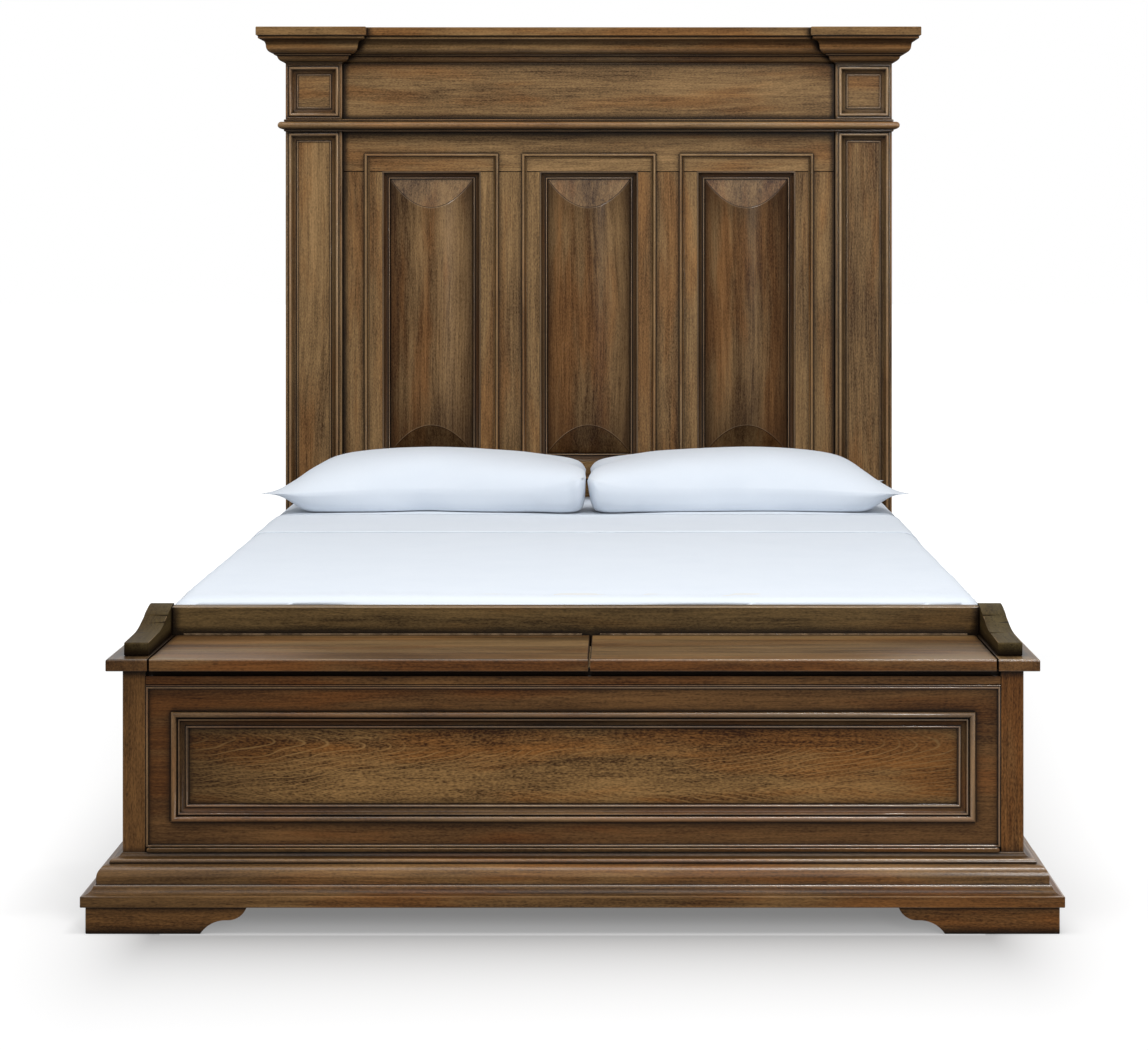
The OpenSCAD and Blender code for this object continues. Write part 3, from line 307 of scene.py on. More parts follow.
def makeMetal(name, look):
    material, tree, shader = newMaterial(name)
    at = addNode(tree, "TexCoord").outputs["Object"]
    stain = noiseAt(tree, scaled(tree, at, metalGrain["stain"]), detail=4, roughness=0.6)
    brushed = noiseAt(tree, scaled(tree, at, metalGrain["brush"]), detail=2)
    feed(tree, shader.inputs["Base Color"],
         mixed(tree, ranged(tree, stain, *metalGrain["stained"]), (*look["colour"], 1),
               (*look["dark"], 1)))
    feed(tree, shader.inputs["Roughness"],
         maths(tree, "MULTIPLY_ADD", brushed, metalGrain["uneven"],
               look["rough"] - metalGrain["uneven"] / 2))
    feed(tree, shader.inputs["Normal"],
         addNode(tree, "Bump", {}, {"Strength": metalGrain["strength"],
                                    "Distance": metalGrain["depth"], "Height": brushed}))
    shader.inputs["Metallic"].default_value = 1.0
    return material


metalMaterials = {name: makeMetal(name, look) for name, look in metals.items()}

cloths = {
    "linen": {"colour": (0.76, 0.8, 0.85), "thread": (0.665, 0.715, 0.78), "count": 900},
    "ticking": {"colour": (0.78, 0.78, 0.76), "thread": (0.66, 0.66, 0.64), "count": 500},
}
clothGrain = {"soft": (9, 9, 9), "softShare": 0.5, "slub": (900, 120, 900), "slubShare": 0.6,
              "weaveShade": 0.12, "weaveHeight": 0.15, "strength": 0.18, "depth": 0.0004,
              "rough": 0.8, "uneven": 0.1, "specular": 0.2, "sheen": 0.15, "sheenRough": 0.5}


def makeCloth(name, look):
    material, tree, shader = newMaterial(name)
    at = addNode(tree, "TexCoord").outputs["Object"]
    count = look["count"] * 2 * math.pi
    parts = addNode(tree, "SeparateXYZ", {}, {0: at})
    waves = [maths(tree, "SINE", maths(tree, "MULTIPLY", socket, count))
             for socket in parts.outputs]
    weave = maths(tree, "MULTIPLY", waves[0], maths(tree, "ADD", waves[1], waves[2]))
    soft = noiseAt(tree, scaled(tree, at, clothGrain["soft"]), detail=3, roughness=0.6)
    slub = noiseAt(tree, scaled(tree, at, clothGrain["slub"]), detail=2, roughness=0.6)
    shade = maths(tree, "MULTIPLY_ADD", weave, clothGrain["weaveShade"],
                  maths(tree, "MULTIPLY", slub, clothGrain["slubShare"]))
    shade = maths(tree, "MULTIPLY_ADD", soft, clothGrain["softShare"], shade, clamp=True)
    feed(tree, shader.inputs["Base Color"],
         mixed(tree, shade, (*look["colour"], 1), (*look["thread"], 1)))
    height = maths(tree, "MULTIPLY_ADD", weave, clothGrain["weaveHeight"], slub)
    feed(tree, shader.inputs["Normal"],
         addNode(tree, "Bump", {}, {"Strength": clothGrain["strength"],
                                    "Distance": clothGrain["depth"], "Height": height}))
    feed(tree, shader.inputs["Roughness"],
         maths(tree, "MULTIPLY_ADD", slub, clothGrain["uneven"], clothGrain["rough"]))
    shader.inputs["Specular IOR Level"].default_value = clothGrain["specular"]
    shader.inputs["Sheen Weight"].default_value = clothGrain["sheen"]
    shader.inputs["Sheen Roughness"].default_value = clothGrain["sheenRough"]
    return material


clothMaterials = {name: makeCloth(name, look) for name, look in cloths.items()}
print("metals and cloths made")

# each wood node's copy gets eased edges and grain that follows the board: in a frame along
# each mitred stick, in a run along the moulding on both sides of a corner
crowns = ["left_crown", "right_crown", "centre_crown"]
seatBoards = ["left_lid", "right_lid", "left_end_cap", "right_end_cap"]
barrels = ["left_barrel_panel", "centre_barrel_panel", "right_barrel_panel"]
grainWays = {
    "frame": ["post_panel_mouldings", "bead_frames", "panel_mouldings", "bench_frame_moulding",
              "bench_field_bead"],
    "run": [*crowns, "belt_moulding", "base_moulding", "front_feet", "rear_feet"],
    "upright": [*barrels, "headboard_back"],
}
grainWay = {node: way for way, members in grainWays.items() for node in members}
grainStart = {"bench_front_panel": (0.3, 0.0, -0.385)}  # its arches lie above its middle
# elsewhere a stick's grain starts at stick x step + seed x part, within a span, on each axis
grainShift = ((1.37, 0.61, 5.0), (0.73, 0.29, 3.0), (0.41, 0.17, 3.0))
stickStep = {"axis": 7, "solid": 3, "farSide": 1}
markRubbedLit, markShaded = 1, 2  # faces rubbed light as wear and a painted highlight, and faces painted dark as shade
eased = {"width": 0.0015, "segments": 1, "least": 0.02, "angle": 60, "flat": 0.4, "sharp": 34}
moulded = {*grainWays["frame"], *crowns, "belt_moulding", "base_moulding", "bench_rail_strip"}
nosed = {*seatBoards, "backboard"}
# of a pair, the first is for inner corners and the second for arrises; faces slimmer than
# narrow take painted shade in quirks and a lighter rub, partly a painted highlight, on arrises,
# by how the profile turns beside them
mouldLook = {"width": (0.0015, 0.0011), "angle": 32, "room": (0.0033, 0.0024),
             "segments": 1, "narrow": 0.004, "arris": 0.6, "quirk": 0.5,
             "quirkShade": 0.95, "unworn": 0.9}
woodOf = {
    "walnut": ["post_panels", "post_panel_mouldings"],
    "postWalnut": ["bench_corner_posts", "front_feet", "rear_feet"],
    "benchWalnut": ["bench_front_board", "bench_rail_strip", "left_bench_end",
                    "right_bench_end", "bench_back"],
    "slopeWalnut": ["panel_mouldings"],
    "baseWalnut": ["base_moulding", "bench_field_bead", "bench_frame_moulding"],
    "benchPanel": ["bench_front_panel"],
    "walnutTop": seatBoards,
    "backWalnut": ["backboard"],
    "armWalnut": ["left_arm", "right_arm"],
}
seatFront = {"wood": "benchWalnut", "below": 0.5}  # on faces whose normal's z is below this
woodFor = {node: wood for wood, members in woodOf.items() for node in members}
woodOfSlot = {"walnut": "walnut", "walnut_dark": "walnutDark", "walnut_panel": "walnutPanel",
              "pine": "pine"}
# barrel panels: the eased crease round each sloped end, without edges that are nearly upright
# or too short, and painted shade on the slopes, most on the one that looks down, towards left
# and right side, towards the ends and all over each panel
barrelLook = {"slice": 0.025, "crease": (5, 55), "level": 0.97, "shortest": 0.002,
              "line": 0.0018, "segments": 2, "lip": 0.147, "slope": 0.12, "sharp": 7,
              "sides": (0.42, 0.66), "sideFrom": 0.45, "sideOver": 0.5, "ends": 0.55,
              "fromTop": 0.189, "fromFoot": 0.234, "edges": 0.6, "foot": 0.5, "top": 0.16,
              "each": (0.03, 0.07, 0.2), "most": 0.78}
# painted shade towards the ends of the bench's front, most at its left-hand end; the front board
# is also darker towards its bottom
endShade = {"bench_front_panel": (0.62, 0.36), "bench_front_board": (0.4, 0.1),
            "base_moulding": (0.42, 0.0), "bench_rail_strip": (0.35, 0.0)}  # left, right
endFade = {"from": 0.42, "to": 0.74, "slice": 0.05, "boardFoot": 0.3}
# painted shadow in the seam between the lids, and painted shade on the upright fronts of lids
# and end caps
lidShade = {"front": 0.24, "seam": 0.96, "sideways": 0.3, "seamWithin": 0.4}
# painted shade on the left-hand pieces of the bench
leftShade = {"bench_corner_posts": 0.36, "left_end_cap": 0.42, "left_arm": 0.3,
             "front_feet": 0.16}
# arrises of the bench are more rubbed and polished, and lighter as a painted highlight, towards
# its right-hand end
polishedAndLit = {"base_moulding", "bench_frame_moulding", "bench_field_bead", "bench_rail_strip",
            *seatBoards}
polishAndLightRise = {"least": 0.4, "more": 0.6, "from": -0.45, "over": 1.1}


def paintedShadeAt(name, face, co, low, high):
    # how much painted shade each broad face takes
    if name in barrels:
        look = barrelLook
        if face.normal.z > look["slope"]:
            return look["top"]
        if face.normal.z < -look["slope"]:
            return look["foot"]
        aside = abs(2 * (co.x - low.x) / (high.x - low.x) - 1)
        down = smoothStep(1 - (high.z - co.z) / look["fromTop"])
        up = smoothStep(1 - (co.z - low.z) / look["fromFoot"])
        rightHand = 2 * co.x > low.x + high.x
        share = look["sides"][rightHand] * smoothStep((aside - look["sideFrom"])
                                                      / look["sideOver"])
        share += look["ends"] * max(down, up) * (1 - look["edges"] * aside)
        return min(look["most"], share + look["each"][barrels.index(name)])
    if name in endShade:
        share = smoothStep((abs(co.x) - endFade["from"]) / (endFade["to"] - endFade["from"]))
        down = smoothStep((high.z - co.z) / (high.z - low.z)) if "board" in name else 0.0
        return max(endShade[name][co.x > 0] * share, endFade["boardFoot"] * down)
    if name in leftShade and co.x < 0:
        return leftShade[name]
    atSeam = abs(face.normal.x) > lidShade["sideways"] and abs(co.x) < lidShade["seamWithin"]
    if name in ("left_lid", "right_lid") and atSeam:
        return lidShade["seam"]
    if name in seatBoards and face.normal.z < seatFront["below"]:
        return lidShade["front"]
    return 0.0


def faceWidth(face):
    return face.calc_area() / max(edge.calc_length() for edge in face.edges)


def bendAt(vert):
    # how the profile turns at a vertex, in radians: above 0 on an arris, below 0 in a quirk
    bends = [edge.calc_face_angle_signed(0) for edge in vert.link_edges
             if len(edge.link_faces) == 2 and edge.calc_length() > eased["least"]
             and not edge.seam]
    return sum(bends) / len(bends) if bends else 0.0


def bevelled(mesh, edges, width, segments, clamp=False):
    made = bmesh.ops.bevel(mesh, geom=edges, offset=width, offset_type="OFFSET",
                           affect="EDGES", segments=segments, profile=0.5, material=-1,
                           clamp_overlap=clamp)
    return made["faces"]


def easeMoulding(mesh, mark):
    # a small flat on each arris, then in each inner corner, where the profile has room
    for convex in (True, False):
        edges = [edge for edge in mesh.edges
                 if len(edge.link_faces) == 2 and not edge.seam and edge.is_convex == convex
                 and edge.calc_length() > eased["least"]
                 and edge.calc_face_angle(0) > math.radians(mouldLook["angle"])
                 and min(faceWidth(face) for face in edge.link_faces) > mouldLook["room"][convex]
                 and not any(face[mark] for face in edge.link_faces)]
        for face in bevelled(mesh, edges, mouldLook["width"][convex], mouldLook["segments"]):
            face[mark] = markRubbedLit if convex else markShaded


def smoothStep(value):
    t = min(1.0, max(0.0, value))
    return t * t * (3 - 2 * t)


def cutAt(mesh, axis, place):
    at, normal = [0, 0, 0], [0, 0, 0]
    at[axis], normal[axis] = place, 1
    bmesh.ops.bisect_plane(mesh, geom=mesh.verts[:] + mesh.edges[:] + mesh.faces[:],
                           dist=1e-6, plane_co=at, plane_no=normal)


def sliced(mesh, axis, start, stop, step):
    for k in range(int((stop - start) / step)):
        cutAt(mesh, axis, start + (k + 0.5) * step)


def islandsOf(mesh):
    found = []
    seen = set()
    for face in mesh.faces:
        if face in seen:
            continue
        island = []
        waiting = [face]
        seen.add(face)
        while waiting:
            here = waiting.pop()
            island.append(here)
            for edge in here.edges:
                for other in edge.link_faces:
                    if other not in seen:
                        seen.add(other)
                        waiting.append(other)
        found.append(island)
    return found


def boxOf(faces):
    points = [v.co for face in faces for v in face.verts]
    low = Vector([min(p[k] for p in points) for k in range(3)])
    high = Vector([max(p[k] for p in points) for k in range(3)])
    return low, high


def cutMitres(mesh, low, high, faces):
    # cuts flat faces along the four mitre lines, so that each stick keeps its own grain
    for x, z, slope in ((low.x, low.z, 1), (high.x, low.z, -1),
                        (low.x, high.z, -1), (high.x, high.z, 1)):
        live = [face for face in faces if face.is_valid]
        geometry = list({v for face in live for v in face.verts}
                        | {e for face in live for e in face.edges}) + live
        cut = bmesh.ops.bisect_plane(mesh, geom=geometry, dist=1e-6, plane_co=(x, 0, z),
                                     plane_no=(slope, 0, -1))
        for edge in cut["geom_cut"]:
            if isinstance(edge, bmesh.types.BMEdge):
                edge.seam = True
        made = [part for part in cut["geom"] if isinstance(part, bmesh.types.BMFace)]
        faces = list({face for face in live + made if face.is_valid})


def grainAxis(way, face, low, high):
    normal = face.normal
    if way == "upright":
        return 2
    if way == "run":
        return 1 if abs(normal.x) > abs(normal.y) else 0
    if way == "frame":
        middle = face.calc_center_median()
        aside = min(middle.x - low.x, high.x - middle.x)
        above = min(middle.z - low.z, high.z - middle.z)
        return 2 if aside < above else 0
    size = high - low
    return max(range(3), key=lambda k: size[k])


def easeCreases(mesh, mark):
    # a barrel panel's curved crease round each sloped end is eased too
    look = barrelLook
    least, most = (math.radians(angle) for angle in look["crease"])
    creases = []
    for edge in mesh.edges:
        fresh = len(edge.link_faces) == 2 and not any(face[mark] for face in edge.link_faces)
        rise = abs(edge.verts[0].co.z - edge.verts[1].co.z)
        if (fresh and least < edge.calc_face_angle(0) < most
                and rise < look["level"] * edge.calc_length()
                and edge.calc_length() > look["shortest"]):
            creases.append(edge)
    made = bevelled(mesh, creases, look["line"], look["segments"])
    mesh.normal_update()
    # crease faces on the slopes take painted shade; the others are rubbed lighter, partly a
    # painted highlight
    for face in made:
        face[mark] = markShaded if abs(face.normal.z) > look["lip"] else markRubbedLit
    low, high = boxOf(mesh.faces)
    sliced(mesh, 2, low.z, high.z, look["slice"])


def startOf(name, stick):
    # where a stick's grain starts, so that no two sticks show the same piece of it
    if name in grainStart:
        return Vector(grainStart[name])
    seeds = (len(name), len(name), ord(name[0]))
    return Vector([(stick * step + seed * part) % span
                   for (step, part, span), seed in zip(grainShift, seeds)])


def newPiece(name, mesh, material):
    data = bpy.data.meshes.new(name)
    mesh.to_mesh(data)
    mesh.free()
    data.shade_smooth()
    data.materials.append(material)
    piece = bpy.data.objects.new(name, data)
    scene.collection.objects.link(piece)
    return piece


def dressWood(name):
    mesh = bmesh.new()
    mesh.from_mesh(nodes[name].data)
    bmesh.ops.remove_doubles(mesh, verts=mesh.verts, dist=1e-5)
    way = grainWay.get(name, "board")
    if way == "frame":
        for island in islandsOf(mesh):
            low, high = boxOf(island)
            cutMitres(mesh, low, high, island)
    bmesh.ops.dissolve_limit(mesh, angle_limit=math.radians(eased["flat"]), verts=mesh.verts,
                             edges=mesh.edges, use_dissolve_boundaries=False, delimit={"SEAM"})
    mark = mesh.faces.layers.int.new("arris")
    if name in moulded:
        easeMoulding(mesh, mark)
    else:
        edges = [edge for edge in mesh.edges
                 if len(edge.link_faces) == 2 and edge.is_convex
                 and edge.calc_face_angle(0) > math.radians(eased["angle"])
                 and edge.calc_length() > eased["least"]]
        for face in bevelled(mesh, edges, eased["width"], eased["segments"]):
            face[mark] = markRubbedLit
    if name in barrels:
        easeCreases(mesh, mark)
    if name in endShade:
        low, high = boxOf(mesh.faces)
        sliced(mesh, 0, low.x, high.x, endFade["slice"])
    mesh.normal_update()
    shaped = name in moulded or name in nosed
    bends = {vert: bendAt(vert) for vert in mesh.verts} if shaped else {}
    grain = mesh.loops.layers.float_vector.new("grainAt")
    wearAndHighlight = mesh.loops.layers.float.new("wearAndHighlight")
    paintedShade = mesh.loops.layers.float.new("paintedShade")
    for number, island in enumerate(islandsOf(mesh)):
        low, high = boxOf(island)
        for face in island:
            axis = grainAxis(way, face, low, high)
            stick = axis * stickStep["axis"] + number * stickStep["solid"]
            if way == "frame":
                side = 2 - axis
                if face.calc_center_median()[side] > (low[side] + high[side]) / 2:
                    stick += stickStep["farSide"]
            shift = startOf(name, stick)
            across = [k for k in range(3) if k != axis]
            upright = name in seatBoards and face.normal.z < seatFront["below"]
            face.material_index = 1 if upright else 0
            slim = shaped and faceWidth(face) < mouldLook["narrow"]
            for loop in face.loops:
                co = loop.vert.co
                bend = bends[loop.vert] if slim else 0.0
                loop[grain] = Vector((co[axis], co[across[0]], co[across[1]])) + shift
                # painted shade from the piece's own share, or deeper in quirks where the profile
                # turns inwards
                dark = max(paintedShadeAt(name, face, co, low, high),
                           smoothStep(-bend / mouldLook["quirk"]))
                # eased inner corners are painted dark as shade
                if face[mark] == markShaded:
                    dark = mouldLook["quirkShade"]
                # arrises are lighter: wear, and also a painted highlight
                light = smoothStep(bend / mouldLook["arris"])
                if face[mark] == markRubbedLit:
                    light = 1.0
                # the painted highlight and the polish rise towards the bench's right-hand end
                if name in polishedAndLit:
                    light *= polishAndLightRise["least"] + polishAndLightRise["more"] * smoothStep(
                        (co.x - polishAndLightRise["from"]) / polishAndLightRise["over"])
                loop[wearAndHighlight] = light if dark < mouldLook["unworn"] else 0.0
                loop[paintedShade] = dark
    wood = woodFor.get(name, woodOfSlot[slotOf[name]])
    piece = newPiece(name + "_wood", mesh, woodMaterials[wood])
    if name in seatBoards:
        piece.data.materials.append(woodMaterials[seatFront["wood"]])
    sharp = barrelLook["sharp"] if name in barrels else eased["sharp"]
    piece.data.set_sharp_from_angle(angle=math.radians(sharp))
    weighted = piece.modifiers.new("even shading", "WEIGHTED_NORMAL")
    weighted.keep_sharp = True
    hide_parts(name)
    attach(piece, bodyOf[name])


woodNodes = [name for name in nodes if slotOf[name] in woodOfSlot]
for name in woodNodes:
    dressWood(name)
for name in nodes:
    if slotOf[name] in metalMaterials:
        nodes[name].data.materials.clear()
        nodes[name].data.materials.append(metalMaterials[slotOf[name]])
print("wood dressed,", len(woodNodes), "pieces")


def addPiece(name, mesh, material, body):
    piece = newPiece(name, mesh, material)
    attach(piece, body)
    return piece


def roundedBlock(low, high, radius, segments, bottom):
    # a block with rounded upright and top edges; bottom says whether its underside is kept
    mesh = bmesh.new()
    bmesh.ops.create_cube(mesh, size=1)
    size = [high[k] - low[k] for k in range(3)]
    middle = [(high[k] + low[k]) / 2 for k in range(3)]
    bmesh.ops.scale(mesh, vec=size, verts=mesh.verts)
    bmesh.ops.translate(mesh, vec=middle, verts=mesh.verts)
    if not bottom:
        under = [face for face in mesh.faces
                 if max(v.co.z for v in face.verts) < middle[2]]
        bmesh.ops.delete(mesh, geom=under, context="FACES_ONLY")
    rounded = [edge for edge in mesh.edges
               if bottom or max(v.co.z for v in edge.verts) > middle[2]]
    bevelled(mesh, rounded, radius, segments, clamp=True)
    return mesh


mattressLow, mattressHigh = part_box("mattress")
mattressLook = {"round": 0.043, "segments": 5, "quiltPitch": 0.17, "quiltDepth": 0.004,
                "quiltSteep": 2.2, "topFrom": 0.9, "side": 0.0005,
                "steps": (0.034, 0.034, 0.03)}


def makeMattress():
    inset = Vector((mattressLook["side"],) * 3)
    mesh = roundedBlock(mattressLow + inset, mattressHigh - inset, mattressLook["round"],
                        mattressLook["segments"], True)
    for axis, step in enumerate(mattressLook["steps"]):
        sliced(mesh, axis, mattressLow[axis], mattressHigh[axis], step)
    mesh.normal_update()
    pitch = mattressLook["quiltPitch"]
    for v in mesh.verts:  # stitched diamonds on top
        if v.normal.z > mattressLook["topFrom"]:
            a = math.sin(math.pi * (v.co.x + v.co.y) / pitch)
            b = math.sin(math.pi * (v.co.x - v.co.y) / pitch)
            puff = min(1, mattressLook["quiltSteep"] * abs(a * b)) ** 0.5
            v.co.z -= mattressLook["quiltDepth"] * (1 - puff)
    piece = addPiece("mattressPad", mesh, clothMaterials["ticking"], "root")
    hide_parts("mattress")


sheetLow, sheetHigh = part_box("sheet")
# the tuck inside the rails, creases, soft rolls by the backboard, and the turned-down cuff
sheetLook = {"thick": 0.0012, "step": 0.026, "round": 0.045, "segments": 6, "lift": 0.003,
             "tuckIn": 0.0215, "tuckBeyond": 0.6, "foldAt": 0.403, "bulgeAt": 0.436,
             "crease": 0.0022, "creaseLevel": 0.6, "calmBelow": 0.44, "calmOver": 0.06,
             "roll": 0.0045, "rollLevel": 0.4, "rollAt": -0.8, "rollWidth": 0.09,
             "rollScale": (1.3, 17, 2.0), "cuffFrom": 0.254, "cuffTo": 0.634,
             "cuffAbove": 0.03, "cuffRise": 0.0016, "cuffPuff": 0.0014, "puffOver": 1.4,
             "cuffEnd": 0.999, "cuffOut": 0.003, "wander": 0.004,
             "wanderScale": (2.0, 7.0, 1.0), "flat": (1.92, 2.755), "area": 5.09}
# kinds of crease: x's and y's share in the first place of the noise, then in the second, the
# third place, and the height
creaseKinds = {"broad": ((1.6, 0.0), (0.0, 3.4), 0.3, 0.5),
               "fine": ((4.5, 2.2), (-1.5, 9.0), 4.0, 0.3),
               "ridge": ((2.1, 3.0), (0.0, 5.0), 9.0, 0.35)}
ridgeSlope = 3


def creaseAt(co):
    # long shallow creases that run mostly across the bed, finer towards the edges
    total = 0.0
    for kind, (first, second, third, height) in creaseKinds.items():
        wave = noise.noise(Vector((co.x * first[0] + co.y * first[1],
                                   co.x * second[0] + co.y * second[1], third)))
        if kind == "ridge":
            wave = max(0.0, 1 - abs(wave) * ridgeSlope) ** 3
        total += height * wave
    return total


def makeSheet():
    look = sheetLook
    low, high = sheetLow.copy(), sheetHigh.copy()
    high.z -= look["lift"]
    low.x, high.x = low.x + look["lift"], high.x - look["lift"]
    mesh = roundedBlock(low, high, look["round"], look["segments"], False)
    for axis in range(3):
        sliced(mesh, axis, low[axis], high[axis], look["step"])
    cutAt(mesh, 1, look["cuffFrom"])
    cutAt(mesh, 1, look["cuffTo"])
    for v in mesh.verts:  # drawn in where it is tucked down inside the rails
        if v.co.z < look["bulgeAt"] and abs(v.co.x) > look["tuckBeyond"]:
            drop = smoothStep((look["bulgeAt"] - v.co.z) / (look["bulgeAt"] - look["foldAt"]))
            v.co.x -= math.copysign(look["tuckIn"] * drop, v.co.x)
    mesh.normal_update()
    shifts = []
    for v in mesh.verts:  # creases all over, and soft rolls by the backboard
        weight = smoothStep((v.co.z - look["calmBelow"]) / look["calmOver"])
        near = math.exp(-((v.co.y - look["rollAt"]) / look["rollWidth"]) ** 2)
        across, along, third = look["rollScale"]
        wave = noise.noise(Vector((v.co.x * across, v.co.y * along, third)))
        shift = look["crease"] * (creaseAt(v.co) - look["creaseLevel"])
        shift += look["roll"] * near * (wave - look["rollLevel"])
        shifts.append((v, v.normal * (weight * shift)))
    for v, shift in shifts:
        v.co += shift
    # the turned-down cuff: a second layer of cloth laid on the first
    cuffFaces = [f for f in mesh.faces
                 if look["cuffFrom"] < f.calc_center_median().y < look["cuffTo"]
                 and f.calc_center_median().z > look["foldAt"] + look["cuffAbove"]]
    made = bmesh.ops.duplicate(mesh, geom=cuffFaces)
    cuffVerts = [g for g in made["geom"] if isinstance(g, bmesh.types.BMVert)]
    for v in cuffVerts:
        along = (v.co.y - look["cuffFrom"]) / (look["cuffTo"] - look["cuffFrom"])
        rise = look["cuffRise"] + look["cuffPuff"] * smoothStep(along * look["puffOver"])
        v.co += v.normal * rise
        if along > look["cuffEnd"]:
            v.co.y += look["cuffOut"]
        across, second, third = look["wanderScale"]
        v.co.y += look["wander"] * noise.noise(Vector((v.co.x * across, second, third)))
    piece = addPiece("bedSheet", mesh, clothMaterials["linen"], "root")
    solid = piece.modifiers.new("cloth thickness", "SOLIDIFY")
    solid.thickness = look["thick"]
    solid.offset = -1
    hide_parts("sheet")


# the start and the swelling of the cloth, the calming of its puckers, and its fit
pillowLook = {"flat": (0.86, 0.6), "cells": (52, 36), "start": (-0.02, 0.03), "lump": 0.35,
              "lumpScale": 5, "rimAt": 0.999, "rimCrease": 0.75, "frames": 22,
              "cloth": {"quality": 6, "use_pressure": True, "uniform_pressure_force": 4.2,
                        "tension_stiffness": 18, "compression_stiffness": 10.8,
                        "shear_stiffness": 7.2, "bending_stiffness": 0.4, "mass": 0.25,
                        "air_damping": 4},
              "smooth": 30, "smoothAbove": 0.004, "seamSmooth": 60, "corner": 0.84,
              "inset": 0.0006, "seam": 0.354, "slack": 0.5, "slackOver": 1.2, "flatTop": 0.82,
              "bluntFrom": 0.65, "bluntTop": 0.14, "bluntBelly": 2, "belly": 0.5,
              "fullBelly": 3.0, "bellyFrom": 0.3, "airUnder": 0.0005, "hemAt": -0.8,
              "hemWidth": 0.03, "hemDip": 0.005, "backDrop": 0.014, "backTaper": 0.05,
              "roundEnd": 0.004, "swellEnd": 0.08}


def makePillow(name, low, high, seed, inner):
    # inner is the side of the bed's middle: 1 where it lies towards +X, -1 towards -X
    look = pillowLook
    mesh = bmesh.new()
    bmesh.ops.create_grid(mesh, x_segments=look["cells"][0], y_segments=look["cells"][1],
                          size=0.5)
    wide, long = look["flat"]
    bmesh.ops.scale(mesh, vec=(wide, long, 1), verts=mesh.verts)
    twin = bmesh.ops.duplicate(mesh, geom=mesh.verts[:] + mesh.edges[:] + mesh.faces[:])["geom"]
    bmesh.ops.reverse_faces(mesh, faces=[g for g in twin if isinstance(g, bmesh.types.BMFace)])
    below = {g for g in twin if isinstance(g, bmesh.types.BMVert)}
    for v in mesh.verts:  # a thin start, so that the pressure knows inside from outside
        u, w = 2 * v.co.x / wide, 2 * v.co.y / long
        fill = max(0.0, (1 - u * u) * (1 - w * w)) ** 0.5
        place = Vector((v.co.x * look["lumpScale"] + seed, v.co.y * look["lumpScale"], seed))
        lump = 1 + look["lump"] * noise.noise(place)
        v.co.z = look["start"][v not in below] * fill * lump
    bmesh.ops.remove_doubles(mesh, verts=mesh.verts, dist=1e-5)
    crease = mesh.edges.layers.float.new("crease_edge")
    for edge in mesh.edges:
        onRim = [max(abs(2 * v.co.x / wide), abs(2 * v.co.y / long)) > look["rimAt"]
                 for v in edge.verts]
        edge[crease] = look["rimCrease"] if all(onRim) else 0.0
    piece = addPiece(name, mesh, clothMaterials["linen"], "root")
    inflate(piece)
    fitPillow(piece, low, high, inner)
    extra = piece.modifiers.new("finer", "SUBSURF")
    extra.levels = extra.render_levels = 1
    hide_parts("pillows")


def inflate(piece):
    look = pillowLook
    cloth = piece.modifiers.new("inflate", "CLOTH")
    for key, value in look["cloth"].items():
        setattr(cloth.settings, key, value)
    cloth.settings.effector_weights.gravity = 0
    cloth.collision_settings.use_collision = False
    cloth.collision_settings.use_self_collision = False
    cloth.point_cache.frame_start = 1
    cloth.point_cache.frame_end = look["frames"]
    for step in range(1, look["frames"] + 1):
        scene.frame_set(step)
    shape = piece.evaluated_get(bpy.context.evaluated_depsgraph_get())
    data = bpy.data.meshes.new_from_object(shape)
    piece.modifiers.remove(cloth)
    piece.data = data
    scene.frame_set(1)


